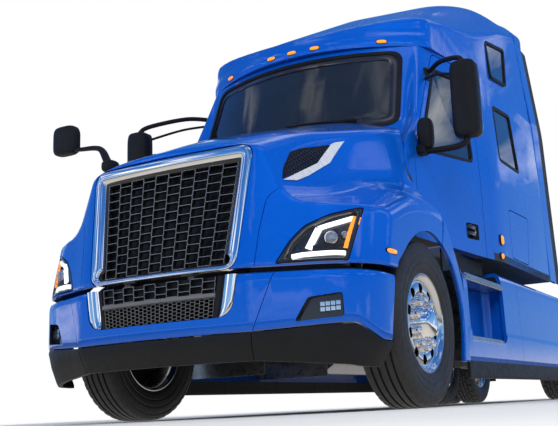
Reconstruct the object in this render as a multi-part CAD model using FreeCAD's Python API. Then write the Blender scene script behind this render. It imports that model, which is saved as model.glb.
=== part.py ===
"""A semi truck tractor unit with a sleeper cab, as an assembly of separate pieces."""

import FreeCAD, Part
import math
import os

# Millimetres, +Z up. The truck faces -Y, its left (driver's) side is +X and z = 0 is the road.
# Every piece is drawn with y measured back from the front axle. At the end they all move
# together, so that the origin lies on the road under the middle of the truck's length.

Vector = FreeCAD.Vector

# Driving dimensions of the whole truck
front_overhang = 1150.0  # front axle to the foremost point of the bumper
wheelbase = 5250.0  # front axle to the first drive axle
tandem_spread = 1320.0  # first to second drive axle
rear_overhang = 740.0  # second drive axle to the end of the frame
half_width = 1190.0  # of the painted body
overall_length = front_overhang + wheelbase + tandem_spread + rear_overhang

# Running gear
tyre_radius = 505.0
tyre_width = 280.0
bead_radius = 290.0
rim_thick = 18.0
flange_height = 14.0
flange_thick = 10.0
steer_track = 2070.0
kingpin_track = steer_track - 190.0
dual_track = 1830.0
dual_spacing = 343.0
spindle_radius = 42.0
kingpin_radius = 20.0
hand_hole_count = 10
hole_sides = 6
rail_outside = 432.0  # half the frame's width
rail_height = 270.0
rail_flange = 90.0
rail_thick = 9.0
rail_top = 995.0

# Cab
cab_floor_height = 1100.0
drip_height = 2670.0
roof_top = 3950.0
cab_front = 160.0
cab_back = 3300.0
cab_wall = 70.0
floor_thick = 60.0
panel_gap = 8.0  # shut line round whatever opens
glass_inset = 12.0
glass_thick = 8.0
extender_length = 260.0
trim_length = 190.0

# Hood and bumper
hood_bottom = 780.0
hood_back = 330.0
hood_top_share = 0.599  # of the cab's wall height
hood_wall = 22.0
hood_setback = 20.0  # grille foot behind the bumper's foremost point
hinge_setback = 45.0  # hood hinge behind the same point
bumper_top = 752.0
bumper_bottom = 437.0
valance_bottom = 285.0
bumper_wall = 30.0
grille_thick = 25.0
surround_depth = 60.0
surround_width = 58.0
hood_clear = 14.0  # between the hood and what it closes on

# Small common sizes
bow_facets = 12  # flats along a bowed edge
bar_sides = 8  # flats round a thin bar
tube_sides = 12  # flats round a thicker tube
tank_sides = 24  # flats round a tank
flat_enough = 1.0  # cubic millimetres that four corners may be out of flat
running_gap = 0.3  # between a shaft and its bore
seat_gap = 0.3  # between pieces on different bodies that rest on each other
plate = 12.0
overrun = 80.0  # how far a cutter runs past what it cuts

cab_length = cab_back - cab_front
cab_height = drip_height - cab_floor_height
hood_top = cab_floor_height + hood_top_share * cab_height
roof_rise = roof_top - drip_height
hood_length = front_overhang + hood_back
hood_rise = hood_top - hood_bottom
second_axle = wheelbase + tandem_spread
frame_end = second_axle + rear_overhang

made = {}


def point(x, y, z):
    return Vector(x, y, z)


def outline_face(points):
    return Part.Face(Part.makePolygon(list(points) + [points[0]]))


def prism_x(outline, x0, x1):
    """A (y, z) outline run from x0 to x1."""
    return outline_face([point(x0, y, z) for y, z in outline]).extrude(point(x1 - x0, 0, 0))


def prism_y(outline, y0, y1):
    """An (x, z) outline run from y0 to y1."""
    return outline_face([point(x, y0, z) for x, z in outline]).extrude(point(0, y1 - y0, 0))


def prism_z(outline, z0, z1):
    """An (x, y) outline run from z0 to z1."""
    return outline_face([point(x, y, z0) for x, y in outline]).extrude(point(0, 0, z1 - z0))


def box(x0, x1, y0, y1, z0, z1):
    return Part.makeBox(x1 - x0, y1 - y0, z1 - z0, point(x0, y0, z0))


def rod(start, end, radius):
    return Part.makeCylinder(radius, (end - start).Length, start, end - start)


def rod_x(x0, x1, y, z, radius):
    return rod(point(x0, y, z), point(x1, y, z), radius)


def rod_z(x, y, z0, z1, radius):
    return rod(point(x, y, z0), point(x, y, z1), radius)


def fuse(*shapes):
    return shapes[0].fuse(list(shapes[1:])).removeSplitter()


def cut(shape, *cutters):
    return shape.cut(list(cutters))


def mirrored(shape):
    """The same piece on the truck's other side."""
    return shape.mirror(point(0, 0, 0), point(1, 0, 0))


def moved(shape, x, y, z):
    copy = shape.copy()
    copy.translate(point(x, y, z))
    return copy


def faceted(rings):
    """A solid skinned with flat facets over a row of closed point rings, with flat ends."""
    faces = [outline_face(rings[0]), outline_face(rings[-1])]
    for ring_a, ring_b in zip(rings, rings[1:]):
        count = len(ring_a)
        for i in range(count):
            a, b = ring_a[i], ring_a[(i + 1) % count]
            c, d = ring_b[(i + 1) % count], ring_b[i]
            if abs((b - a).cross(c - a).dot(d - a)) < flat_enough:
                faces.append(outline_face([a, b, c, d]))
            elif a.x + b.x > 0:
                faces += [outline_face([a, b, c]), outline_face([a, c, d])]
            else:
                faces += [outline_face([b, c, d]), outline_face([b, d, a])]
    solid = Part.Solid(Part.Shell(faces))
    if solid.Volume < 0:
        solid.reverse()
    return solid


def bow(start, middle, end):
    """Points along the arc through three points, without its two ends."""
    curve = Part.Arc(start, middle, end).toShape()
    return curve.discretize(bow_facets + 1)[1:-1]


def drum(start, end, profile, sides):
    """A turned shape of flat facets from (share of the way, radius) pairs."""
    way = end - start
    side = way.cross(point(0, 0, 1))
    if side.Length < flat_enough:
        side = point(1, 0, 0)
    side.normalize()
    up = way.cross(side).normalize()
    rings = []
    for share, radius in profile:
        row = []
        for i in range(sides):
            angle = 2 * math.pi * (i + 0.5) / sides
            across = side * (radius * math.cos(angle)) + up * (radius * math.sin(angle))
            row.append(start + way * share + across)
        rings.append(row)
    return faceted(rings)


def bar(start, end, radius, sides=bar_sides):
    """A round bar or tube drawn with flats."""
    return drum(start, end, [(0, radius), (1, radius)], sides)


def bar_z(x, y, z0, z1, radius, sides=bar_sides):
    return bar(point(x, y, z0), point(x, y, z1), radius, sides)


def keep(name, *shapes):
    """Notes a finished sub-part. Its solids lie apart or face to face."""
    solids = []
    for shape in shapes:
        solids.extend(shape.Solids)
    made[name] = Part.makeCompound(solids)


def keep_pair(name, shape):
    """Notes a left sub-part and its mirror image on the right."""
    keep(name + "_left", shape)
    keep(name + "_right", mirrored(shape))


def half_section(points, y):
    """A closed section at one y from its left half, which ends on the middle plane."""
    left = [point(x, y, z) for x, z in points]
    return left + [point(-p.x, p.y, p.z) for p in reversed(left) if p.x > 0]


# Cab: the plan outline at three heights, as shares of the cab's height, length and width

cab_level_shares = [
    # height, front middle, glass edge x, y, corner x, y, door rear x, flare x, back x
    (0.0, 0.022, 0.740, 0.030, 0.849, 0.010, 0.950, 0.990, 1.0),
    (0.414, 0.012, 0.750, 0.060, 0.845, 0.005, 0.945, 0.986, 0.996),
    (0.573, 0.044, 0.746, 0.131, 0.832, 0.108, 0.937, 0.975, 0.988),
    (1.0, 0.132, 0.720, 0.209, 0.782, 0.223, 0.906, 0.941, 0.966),
]
door_rear_share = 0.417
door_inner_share = 0.700
pillar_width = 38.0
flare_share = 0.510


def cab_y(share):
    return cab_front + share * cab_length


def cab_z(share):
    return cab_floor_height + share * cab_height


def cab_plan(shares, inset, floor):
    """One plan outline of the cab: bowed front, pillars, doors, flare, sleeper and back."""
    height, front, glass_x, glass_y, corner_x, corner_y, door_x, flare_x, back_x = shares
    z = max(cab_z(height), floor)
    left = [
        point(glass_x * half_width - inset / 2, cab_y(glass_y) + inset, z),
        point(corner_x * half_width - inset, cab_y(corner_y) + inset, z),
        point(door_x * half_width - inset, cab_y(door_rear_share), z),
        point(flare_x * half_width - inset, cab_y(flare_share), z),
        point(back_x * half_width - inset, cab_back - inset, z),
    ]
    chain = left + [point(-p.x, p.y, p.z) for p in reversed(left)]
    return chain + bow(chain[-1], point(0, cab_y(front) + inset, z), chain[0])


def cab_body(inset, floor):
    return faceted([cab_plan(shares, inset, floor) for shares in cab_level_shares])


# Roof: half sections as shares of the cab's length, the half width and the roof's rise

roof_shares = [
    # y, drip x, crease x, z, crest x, z, middle z
    (0.083, 0.760, 0.760, 0.080, 0.560, 0.085, 0.088),
    (0.153, 0.790, 0.785, 0.125, 0.590, 0.130, 0.138),
    (0.267, 0.840, 0.822, 0.215, 0.620, 0.265, 0.285),
    (0.427, 0.908, 0.850, 0.300, 0.650, 0.490, 0.525),
    (0.586, 0.946, 0.866, 0.410, 0.668, 0.680, 0.720),
    (0.745, 0.956, 0.874, 0.560, 0.680, 0.835, 0.870),
    (0.841, 0.960, 0.880, 0.650, 0.690, 0.900, 0.935),
    (1.0, 0.968, 0.885, 0.760, 0.700, 0.950, 1.0),
]
brow_middle_share = 0.115
brow_edge_share = 0.229
brow_width_share = 0.800


def roof_ring(shares, inset, floor):
    y, drip, crease_x, crease_z, crest_x, crest_z, middle = shares
    half = [
        (drip * half_width - inset, floor),
        (crease_x * half_width - inset, drip_height + crease_z * roof_rise - inset / 2),
        (crest_x * half_width - inset / 2, drip_height + crest_z * roof_rise - inset),
        (0, drip_height + middle * roof_rise - inset),
    ]
    return half_section(half, min(cab_y(y), cab_back - inset))


def brow_plan(inset, z0, z1):
    """The roof's plan, whose front bows out over the windshield."""
    edge_x = brow_width_share * half_width - inset
    edge_y = cab_y(brow_edge_share) + inset
    far_x = half_width + overrun
    far_y = cab_back - inset
    chain = [point(edge_x, edge_y, z0), point(far_x, edge_y + overrun * 4, z0)]
    chain += [point(far_x, far_y, z0), point(-far_x, far_y, z0)]
    chain += [point(-far_x, edge_y + overrun * 4, z0), point(-edge_x, edge_y, z0)]
    chain += bow(chain[-1], point(0, cab_y(brow_middle_share) + inset, z0), chain[0])
    return outline_face(chain).extrude(point(0, 0, z1 - z0))


def roof_body(inset, floor):
    body = faceted([roof_ring(shares, inset, floor) for shares in roof_shares])
    return body.common(brow_plan(inset, floor - overrun, roof_top + overrun))


def cab_outline(shares):
    return [(cab_y(y), cab_z(z)) for y, z in shares]


def grown(outline, by):
    """A convex (y, z) outline moved outward by a distance on every side."""
    lines = []
    count = len(outline)
    middle = (sum(p[0] for p in outline) / count, sum(p[1] for p in outline) / count)
    for i in range(count):
        (y0, z0), (y1, z1) = outline[i], outline[(i + 1) % count]
        length = math.hypot(y1 - y0, z1 - z0)
        ny, nz = (z1 - z0) / length, -(y1 - y0) / length
        if (y0 - middle[0]) * ny + (z0 - middle[1]) * nz < 0:
            ny, nz = -ny, -nz
        lines.append((ny, nz, y0 * ny + z0 * nz + by))
    points = []
    for i in range(count):
        (a, b, e), (c, d, f) = lines[i - 1], lines[i]
        det = a * d - b * c
        points.append(((e * d - b * f) / det, (a * f - e * c) / det))
    return points


# Doors, windows and hatches as (y, z) shares of the cab's length and height
door_shares = [
    (0.057, 0.168), (0.115, 0.085), (0.188, -0.018), (0.417, -0.018), (0.417, 0.985),
    (0.262, 0.985), (0.124, 0.573), (0.057, 0.400),
]
door_window_shares = [(0.102, 0.415), (0.382, 0.480), (0.382, 0.905), (0.253, 0.890)]
low_window_shares = [(0.571, 0.567), (0.763, 0.576), (0.740, 0.918), (0.575, 0.885)]
hatch_shares = [(0.600, 0.042), (0.760, 0.042), (0.797, 0.325), (0.600, 0.310)]
high_window_shares = [(0.621, 0.095), (0.770, 0.143), (0.838, 0.498), (0.656, 0.412)]
windshield_shares = [(0.700, 0.560), (0.672, 0.965)]


def windshield_outline(grow):
    """The windshield's (x, z) outline as seen from the front."""
    (low_x, low_z), (high_x, high_z) = windshield_shares
    x0, x1 = low_x * half_width + grow, high_x * half_width + grow
    z0, z1 = cab_z(low_z) - grow, cab_z(high_z) + grow
    return [(-x0, z0), (x0, z0), (x1, z1), (-x1, z1)]


def cab_side_x(y, z):
    """Half width of the cab's outer skin beside the doors and the sleeper."""
    rows = []
    for shares in cab_level_shares:
        height, front, glass_x, glass_y, corner_x, corner_y, door_x, flare_x, back_x = shares
        line = [(corner_y, corner_x), (door_rear_share, door_x), (flare_share, flare_x), (1.0, back_x)]
        for (y0, x0), (y1, x1) in zip(line, line[1:]):
            if cab_y(y0) <= y <= cab_y(y1):
                mix = (y - cab_y(y0)) / (cab_y(y1) - cab_y(y0))
                rows.append((cab_z(height), (x0 + mix * (x1 - x0)) * half_width))
    for (z0, x0), (z1, x1) in zip(rows, rows[1:]):
        if z0 <= z <= z1:
            return x0 + (x1 - x0) * (z - z0) / (z1 - z0)
    return rows[0][1]


hinge_radius = 7.0
hinge_length = 40.0


def hinges(outline, heights):
    """Barrels on the front shut line: the wall's, the leaf's and the room that each leaves."""
    y = outline[0][0] + panel_gap / 2
    x = cab_side_x(y, cab_z(heights[0]))
    wall, leaf, wall_room, leaf_room = [], [], [], []
    room_radius = hinge_radius + seat_gap
    for share in heights:
        z = cab_z(share)
        top = z + hinge_length
        wall.append(rod_z(x, y, z, top, hinge_radius))
        leaf_room.append(rod_z(x, y, z - seat_gap, top + seat_gap, room_radius))
        leaf.append(rod_z(x, y, z - hinge_length, z - seat_gap, hinge_radius))
        wall_room.append(rod_z(x, y, z - hinge_length - seat_gap, z, room_radius))
    print("hinge line at x", round(x, 3), "y", round(y, 3))
    return wall, leaf, wall_room, leaf_room


def cab_front_zone():
    """Everything ahead of the doors: the cowl, the screen and its pillars."""
    rings = []
    for shares in cab_level_shares:
        z = cab_z(shares[0])
        corner_x, corner_y = shares[4] * half_width, cab_y(shares[5]) + pillar_width
        inner_y = max(corner_y, cab_y(shares[3]) + pillar_width) + cab_wall * 1.5
        left = [
            point(corner_x + overrun * 2, corner_y, z),
            point(corner_x - cab_wall - plate, corner_y, z),
            point(corner_x - cab_wall - plate, inner_y, z),
        ]
        far_y = cab_front - overrun * 2
        chain = [point(corner_x + overrun * 2, far_y, z)] + left
        rings.append(chain + [point(-p.x, p.y, z) for p in reversed(chain)])
    return faceted(rings)


def make_cab():
    floor_top = cab_floor_height + floor_thick
    outer = cab_body(0, cab_floor_height)
    inner = cab_body(cab_wall, floor_top)
    skin_front = cab_body(glass_inset, cab_floor_height)
    skin_back = cab_body(glass_inset + glass_thick, cab_floor_height)
    pane = skin_front.cut(skin_back)
    far = half_width + overrun
    door_hole = cab_outline(door_shares)
    door_leaf = grown(door_hole, -panel_gap)
    hatch_hole = cab_outline(hatch_shares)
    hatch_leaf = grown(hatch_hole, -panel_gap)
    door_window = cab_outline(door_window_shares)
    low_window = cab_outline(low_window_shares)
    door_in = door_inner_share * half_width

    walls = outer.cut(inner)
    slab = box(-far, far, cab_front - overrun, cab_back + overrun, cab_floor_height, floor_top)
    front_wall = cab_front_zone()
    door_cut = prism_x(door_hole, door_in, far)
    door_cut = door_cut.cut(front_wall)
    both_doors = door_cut.fuse(mirrored(door_cut))
    keep("cab_floor", cut(walls.common(slab), both_doors))
    walls = walls.cut(slab)

    side_walls = walls.cut(front_wall)
    window_cut = prism_x(door_window, door_in, far)
    leaf = cut(side_walls.common(prism_x(door_leaf, door_in, far)), window_cut)
    door_hinge = hinges(door_hole, (0.205, 0.350))
    keep_pair("door", fuse(cut(leaf, *door_hinge[3]), *door_hinge[1]))
    keep_pair("door_glass", pane.common(window_cut))
    leaf = walls.common(prism_x(hatch_leaf, 0, far))
    hatch_hinge = hinges(hatch_hole, (0.085, 0.255))
    keep_pair("luggage_door", fuse(cut(leaf, *hatch_hinge[3]), *hatch_hinge[1]))

    front_zone = front_wall
    screen = prism_y(windshield_outline(0), cab_front - overrun, cab_y(0.3))
    front = walls.common(front_zone)
    keep("cab_front", front.cut(screen))
    rest = walls.cut(front_zone)
    back_zone = box(-far, far, cab_back - cab_wall, cab_back + overrun, floor_top, drip_height)
    keep("cab_back", rest.common(back_zone))
    rest = rest.cut(back_zone)
    low_cut = prism_x(low_window, -far, far)
    rooms = door_hinge[2] + hatch_hinge[2]
    barrels = door_hinge[0] + hatch_hinge[0]
    rest = cut(rest, both_doors, prism_x(hatch_hole, -far, far), low_cut)
    rest = cut(rest, *rooms, *[mirrored(shape) for shape in rooms])
    keep("cab_sides", fuse(rest, *barrels, *[mirrored(shape) for shape in barrels]))

    roof_outer = roof_body(0, drip_height)
    roof_skin = roof_body(glass_inset, drip_height - overrun)
    roof_pane = roof_skin.cut(roof_body(glass_inset + glass_thick, drip_height - overrun * 2))
    high_window = [(cab_y(y), drip_height + z * roof_rise) for y, z in high_window_shares]
    high_cut = prism_x(high_window, -far, far)
    keep("cab_roof", cut(roof_outer, roof_body(cab_wall, drip_height - overrun), high_cut))
    windshield = pane.common(screen)
    keep("glass", windshield, pane.common(low_cut), roof_pane.common(high_cut))


# Hood: half sections as shares of its length, the half width and its rise

hood_shares = [
    # y, shoulder z, crest z, valley x, z, crease x, z, brow x, z, middle z
    (-0.05, 0.130, 0.170, 0.590, 0.250, 0.430, 0.480, 0.280, 0.510, 0.520),
    (0.135, 0.175, 0.225, 0.615, 0.300, 0.515, 0.565, 0.330, 0.618, 0.632),
    (0.372, 0.240, 0.295, 0.680, 0.350, 0.600, 0.680, 0.380, 0.733, 0.750),
    (0.642, 0.375, 0.430, 0.755, 0.465, 0.725, 0.752, 0.460, 0.832, 0.860),
    (0.878, 0.390, 0.450, 0.868, 0.505, 0.815, 0.825, 0.500, 0.925, 0.957),
    (1.05, 0.365, 0.430, 0.880, 0.530, 0.840, 0.860, 0.500, 0.968, 1.0),
]
crest_share = 0.924
# plan of the nose at the hood's foot and at its top: x share, setback as a share of overhang
nose_low_shares = [(0.470, 0.035), (0.613, 0.102), (0.800, 0.178), (0.933, 0.287), (0.990, 0.443)]
nose_high_shares = [(0.470, 0.135), (0.613, 0.217), (0.800, 0.318), (0.933, 0.457), (0.990, 0.628)]
nose_middle_shares = (0.0, 0.105)
arch_shares = [
    (-1.05, 0.40), (-0.985, 1.30), (-0.955, 1.61), (-0.79, 1.72), (-0.58, 1.90), (-0.22, 2.09),
    (0.16, 2.150), (0.45, 2.095), (0.95, 1.83), (1.21, 1.40), (1.25, 1.0), (1.17, 0.40),
]
hood_rear_shares = [(1.50, -0.2), (0.60, -0.2), (0.970, 0.205), (1.007, 0.370), (0.985, 0.420)]
hood_rear_shares += [(0.777, 0.448), (0.881, 0.792), (0.985, 0.935), (1.10, 1.20)]
hood_rear_shares += [(1.50, 1.20), (1.50, -0.2)]


def hood_y(share):
    return share * hood_length - front_overhang


def hood_z(share):
    return hood_bottom + share * hood_rise


def hood_ring(shares, inset, floor):
    y, shoulder, crest, valley_x, valley, crease_x, crease, brow_x, brow, middle = shares
    half = [
        (half_width - inset, floor),
        (half_width - inset, hood_z(shoulder) - inset / 2),
        (crest_share * half_width - inset / 2, hood_z(crest) - inset),
        (valley_x * half_width - inset, hood_z(valley) - inset),
        (crease_x * half_width - inset, hood_z(crease) - inset / 2),
        (brow_x * half_width - inset / 2, hood_z(brow) - inset),
        (0, hood_z(middle) - inset),
    ]
    return half_section(half, hood_y(y))


def nose_ring(shares, middle, inset, z):
    """The nose in plan, bowed in the middle and swept back to the fenders."""
    front = hood_setback - front_overhang
    left = [(x * half_width - inset / 2, front + s * front_overhang + inset) for x, s in shares]
    left.append((half_width + overrun, left[-1][1] + overrun * 2))
    left.append((half_width + overrun, hood_y(1.6)))
    left.reverse()
    chain = [point(-x, y, z) for x, y in left] + [point(x, y, z) for x, y in reversed(left)]
    top = point(0, front + middle * front_overhang + inset, z)
    half = len(left)
    return chain[:half] + bow(chain[half - 1], top, chain[half]) + chain[half:]


def nose_body(inset, floor, ceiling):
    """Everything behind the nose's leaning front, between two heights."""
    rings = []
    for z in (floor, ceiling):
        share = (z - hood_bottom) / (hood_z(0.65) - hood_bottom)
        mix = []
        for low, high in zip(nose_low_shares, nose_high_shares):
            mix.append((low[0], low[1] + (high[1] - low[1]) * share))
        low, high = nose_middle_shares
        rings.append(nose_ring(mix, low + (high - low) * share, inset, z))
    return faceted(rings)


def hood_body(inset, floor):
    body = faceted([hood_ring(shares, inset, floor) for shares in hood_shares])
    return body.common(nose_body(inset, floor - overrun, hood_top + overrun))


def arch_outline():
    return [(y * tyre_radius, z * tyre_radius) for y, z in arch_shares]


def arch_cutter(far):
    """Both wheel arches, cut through the fenders' sides only."""
    side = prism_x(arch_outline(), half_width - overrun, far)
    return side.fuse(mirrored(side))


grille_shares = [(0.425, 0.0), (0.480, 0.573)]  # x share and height share at foot and top


def grille_outline(grow):
    (low_x, low_z), (high_x, high_z) = grille_shares
    x0, x1 = low_x * half_width + grow, high_x * half_width + grow
    z0, z1 = hood_z(low_z) - grow, hood_z(high_z) + grow
    return [(-x0, z0), (x0, z0), (x1, z1), (-x1, z1)]


lamp_front_shares = [(0.613, 0.010), (0.934, 0.015), (0.962, 0.150), (0.960, 0.284), (0.714, 0.180)]


def lamp_outline(grow):
    """A headlamp's (x, z) outline as seen from the front."""
    points = [(x * half_width, hood_z(z)) for x, z in lamp_front_shares]
    return grown(points, grow)


hood_hinge_x = 200.0
hood_hinge_radius = 10.0
hood_hinge_y = hinge_setback - front_overhang


def hood_hinges():
    """Barrels on the hood's tilting line: the frame's, the hood's and the frame's room."""
    fixed, turning, room = [], [], []
    gap = seat_gap
    for side in (1, -1):
        x = side * hood_hinge_x
        a, b = sorted((x, x + side * hinge_length))
        c, d = sorted((x - side * gap, x - side * hinge_length))
        fixed.append(rod_x(a, b, hood_hinge_y, hood_bottom, hood_hinge_radius))
        room.append(rod_x(a - gap, b + gap, hood_hinge_y, hood_bottom, hood_hinge_radius + gap))
        turning.append(rod_x(c, d, hood_hinge_y, hood_bottom, hood_hinge_radius))
    return fixed, turning, room


def make_hood():
    far = half_width + overrun
    outer = hood_body(0, hood_bottom)
    inner = hood_body(hood_wall, hood_bottom - overrun)
    shell = outer.cut(inner)
    rear = prism_x([(hood_y(y), hood_z(z)) for y, z in hood_rear_shares], -far, far)
    grille_hole = prism_y(grille_outline(0), -front_overhang - overrun, -tyre_radius)
    lamp_hole = prism_y(lamp_outline(0), -front_overhang, -tyre_radius + overrun)
    shell = cut(shell, rear, arch_cutter(far), grille_hole, lamp_hole, mirrored(lamp_hole))
    keep("hood", shell.cut(cab_body(-hood_clear, cab_floor_height - overrun)))

    nose = nose_body(0, hood_bottom - overrun, hood_top)
    nose_back = nose_body(surround_depth, hood_bottom - overrun, hood_top)
    band = nose.cut(nose_back)
    front_zone = (-front_overhang - overrun, -tyre_radius)
    ring = prism_y(grille_outline(0), *front_zone).cut(
        prism_y(grille_outline(-surround_width), *front_zone))
    fixed, turning, room = hood_hinges()
    keep("grille_surround", fuse(cut(band.common(ring), *room), *turning))
    mid = nose_body(surround_depth / 2, hood_bottom - overrun, hood_top)
    mid_back = nose_body(surround_depth / 2 + grille_thick, hood_bottom - overrun, hood_top)
    mesh = mid.cut(mid_back).common(prism_y(grille_outline(-surround_width), *front_zone))
    keep("grille", mesh)

    lamp_front = hood_body(plate / 4, hood_bottom - overrun)
    lamp_back = nose_body(surround_depth * 2, hood_bottom - overrun, hood_top)
    lamp = lamp_front.cut(lamp_back).common(lamp_hole)
    keep("headlamps", lamp, mirrored(lamp))


# Bumper: plan as x shares and setback shares of the overhang, from the middle outward
bumper_shares = [(0.487, 0.043), (0.605, 0.100), (0.800, 0.187), (0.930, 0.287), (0.985, 0.426)]
bumper_end_share = 0.650
bumper_end_shares = [(-0.91, 1.65), (-1.11, 0.87), (-1.20, 0.40), (0.0, 0.40), (0.0, 1.65)]
valance_setback = 62.0
bumper_reach_share = 0.36


def bumper_ring(extra, inset, z):
    """Closed plan outline of a bumper band, open to the rear between its two ends."""
    start = -front_overhang + extra
    left = [(x * half_width - inset / 2, start + s * front_overhang + inset)
            for x, s in bumper_shares]
    left.append((bumper_shares[-1][0] * half_width - inset / 2,
                 -front_overhang + bumper_end_share * front_overhang))
    left.reverse()
    chain = [point(-x, y, z) for x, y in left] + [point(x, y, z) for x, y in reversed(left)]
    half = len(left)
    middle = bow(chain[half - 1], point(0, start + inset, z), chain[half])
    return chain[:half] + middle + chain[half:]


def bumper_band(extra_low, extra_high, z0, z1):
    outer = faceted([bumper_ring(extra_low, 0, z0), bumper_ring(extra_high, 0, z1)])
    inner_low = bumper_ring(extra_low, bumper_wall, z0 - bumper_wall)
    inner_high = bumper_ring(extra_high, bumper_wall, z1 + bumper_wall)
    inner = faceted([inner_low, inner_high])
    ends = [(y * tyre_radius, z * tyre_radius) for y, z in bumper_end_shares]
    open_back = box(-half_width * bumper_shares[2][0], half_width * bumper_shares[2][0],
                    -front_overhang * (1 - bumper_shares[3][1]), 0, z0 - overrun, z1 + overrun)
    return cut(outer, inner, open_back, prism_x(ends, -half_width, half_width))


def bumper_back(extra):
    """Everything behind a bumper band's inner face."""
    return faceted([bumper_ring(extra, bumper_wall, bumper_bottom),
                  bumper_ring(extra, bumper_wall, bumper_top)])


fog_shares = [(0.735, 0.14), (0.862, 0.20), (0.862, 0.62), (0.735, 0.50)]


def fog_outline(grow):
    rise = bumper_top - bumper_bottom
    return grown([(x * half_width, bumper_bottom + z * rise) for x, z in fog_shares], grow)


def make_bumper():
    far_y = (-front_overhang - overrun, -tyre_radius - overrun)
    middle = [(-0.42 * half_width, bumper_bottom - overrun),
              (0.42 * half_width, bumper_bottom - overrun),
              (0.44 * half_width, bumper_top + overrun), (-0.44 * half_width, bumper_top + overrun)]
    middle_hole = prism_y(middle, *far_y)
    band = bumper_band(0, 0, bumper_bottom, bumper_top)
    fog_hole = prism_y(fog_outline(0), *far_y)
    painted = cut(band, middle_hole, fog_hole, mirrored(fog_hole))
    keep("bumper", painted)
    recess = bumper_band(bumper_wall / 2, bumper_wall / 2, bumper_bottom, bumper_top)
    lower_grille = recess.common(middle_hole)
    valance = bumper_band(valance_setback, 0, valance_bottom, bumper_bottom)
    fog_back = bumper_band(bumper_wall / 2, bumper_wall / 2, bumper_bottom, bumper_top)
    fog = fog_back.common(fog_hole)
    keep("black_trims", lower_grille, valance, fog, mirrored(fog), *make_trims())


# Frame rails with their cross members


def rail():
    """One channel rail of the frame, open toward the middle."""
    web = box(rail_outside - rail_thick, rail_outside, rail_front, frame_end,
              rail_top - rail_height, rail_top)
    top = box(rail_outside - rail_flange, rail_outside, rail_front, frame_end,
              rail_top - rail_thick, rail_top)
    low = moved(top, 0, 0, rail_thick - rail_height)
    return fuse(web, top, low)


rail_front = -0.72 * front_overhang
cross_shares = [0.0, 0.24, 0.42, 0.60, 0.745, 0.90, 0.985]


def make_frame():
    half = rail_outside - rail_thick
    low, high = rail_top - rail_height * 0.80, rail_top - rail_height * 0.20
    rails = fuse(rail(), mirrored(rail()))
    pieces = [rails]
    for index in range(len(cross_shares)):
        y = cross_member_y(index)
        pieces.append(box(-half, half, y - rail_flange / 2, y + rail_flange / 2, low, high))
    for side in (1, -1):
        a, b = sorted((side * rail_outside, side * (rail_outside + plate * 2)))
        top, low = bumper_top - plate, bumper_bottom + overrun
        stay = prism_x([
            (-front_overhang, low), (rail_front + overrun, top - plate * 3),
            (rail_front + overrun, rail_top - rail_height * 0.15),
            (rail_front, rail_top - rail_height * 0.15), (rail_front - overrun, top),
            (-front_overhang, top)], a, b)
        pieces.append(stay.common(bumper_back(bumper_wall / 2)))
    beam = box(-rail_outside - plate, rail_outside + plate, hood_hinge_y,
               hood_hinge_y + rail_flange / 2, bumper_top - rail_flange / 2, bumper_top)
    pieces.append(beam.common(bumper_back(bumper_wall / 2)))
    pieces += hood_hinges()[0]
    for side in (1, -1):
        a, b = sorted((side * hood_hinge_x, side * (hood_hinge_x + hinge_length)))
        pieces.append(box(a, b, hood_hinge_y, hood_hinge_y + rail_flange / 2, bumper_top,
                          hood_bottom - hood_hinge_radius / 2))
    for y in cab_mounts:
        for side in (1, -1):
            pieces.append(bar_z(side * (rail_outside - rail_flange / 2), y, rail_top,
                                cab_floor_height, rail_flange * 0.45))
    keep("frame", fuse(*pieces))


cab_mounts = (cab_y(0.16), cab_y(0.55), cab_y(0.94))

axle_height = tyre_radius
beam_half_height = 55.0
beam_half_width = 60.0
beam_drop = 60.0
spring_width = 80.0
spring_half = 700.0
eye_radius = 45.0


def make_front_axle():
    """A dropped beam with a kingpin eye at each end, on two leaf springs."""
    reach = kingpin_track / 2
    beam_z = axle_height - beam_drop
    outline = [
        (0, beam_z - beam_half_height), (0.62 * reach, beam_z - beam_half_height),
        (0.86 * reach, axle_height - beam_half_height), (reach, axle_height - beam_half_height),
        (reach, axle_height + beam_half_height * 0.4),
        (0.84 * reach, axle_height + beam_half_height * 0.4),
        (0.60 * reach, beam_z + beam_half_height), (0, beam_z + beam_half_height),
    ]
    half = prism_y(outline, -beam_half_width, beam_half_width)
    low, high = axle_height - beam_half_height, axle_height + beam_half_height * 0.4
    eye = bar_z(reach, 0, low, high, eye_radius, tube_sides)
    wide = box(reach, reach + eye_radius * 2, -overrun, overrun, low - plate, high + plate)
    half = fuse(half.cut(wide), eye)
    half = half.cut(rod_z(reach, 0, low - overrun, high + overrun, kingpin_radius + running_gap))
    beam = fuse(half, mirrored(half))
    pieces = [beam]
    x = rail_outside - spring_width / 2
    for side in (1, -1):
        a, b = sorted((side * (x - spring_width / 2), side * (x + spring_width / 2)))
        top = beam_z + beam_half_height
        leaf = prism_x([
            (-spring_half, rail_top - rail_height - plate * 4), (0, top + plate * 2),
            (spring_half, rail_top - rail_height - plate * 4),
            (spring_half, rail_top - rail_height - plate * 2), (0, top + plate * 6),
            (-spring_half, rail_top - rail_height - plate * 2)], a, b)
        seat = box(a, b, -beam_half_width * 1.6, beam_half_width * 1.6, top, top + plate * 5)
        pieces.append(fuse(leaf, seat))
        for y in (-spring_half, spring_half):
            hanger = box(a, b, y - plate * 3, y + plate * 3,
                         rail_top - rail_height - plate * 5, rail_top - rail_height)
            pieces.append(hanger)
    return fuse(*pieces)


housing_radius = 75.0
carrier_radius = 215.0
carrier_nose = carrier_radius * 1.9
carrier_flat = carrier_radius * math.cos(math.pi / tube_sides)
bag_radius = 125.0


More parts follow.
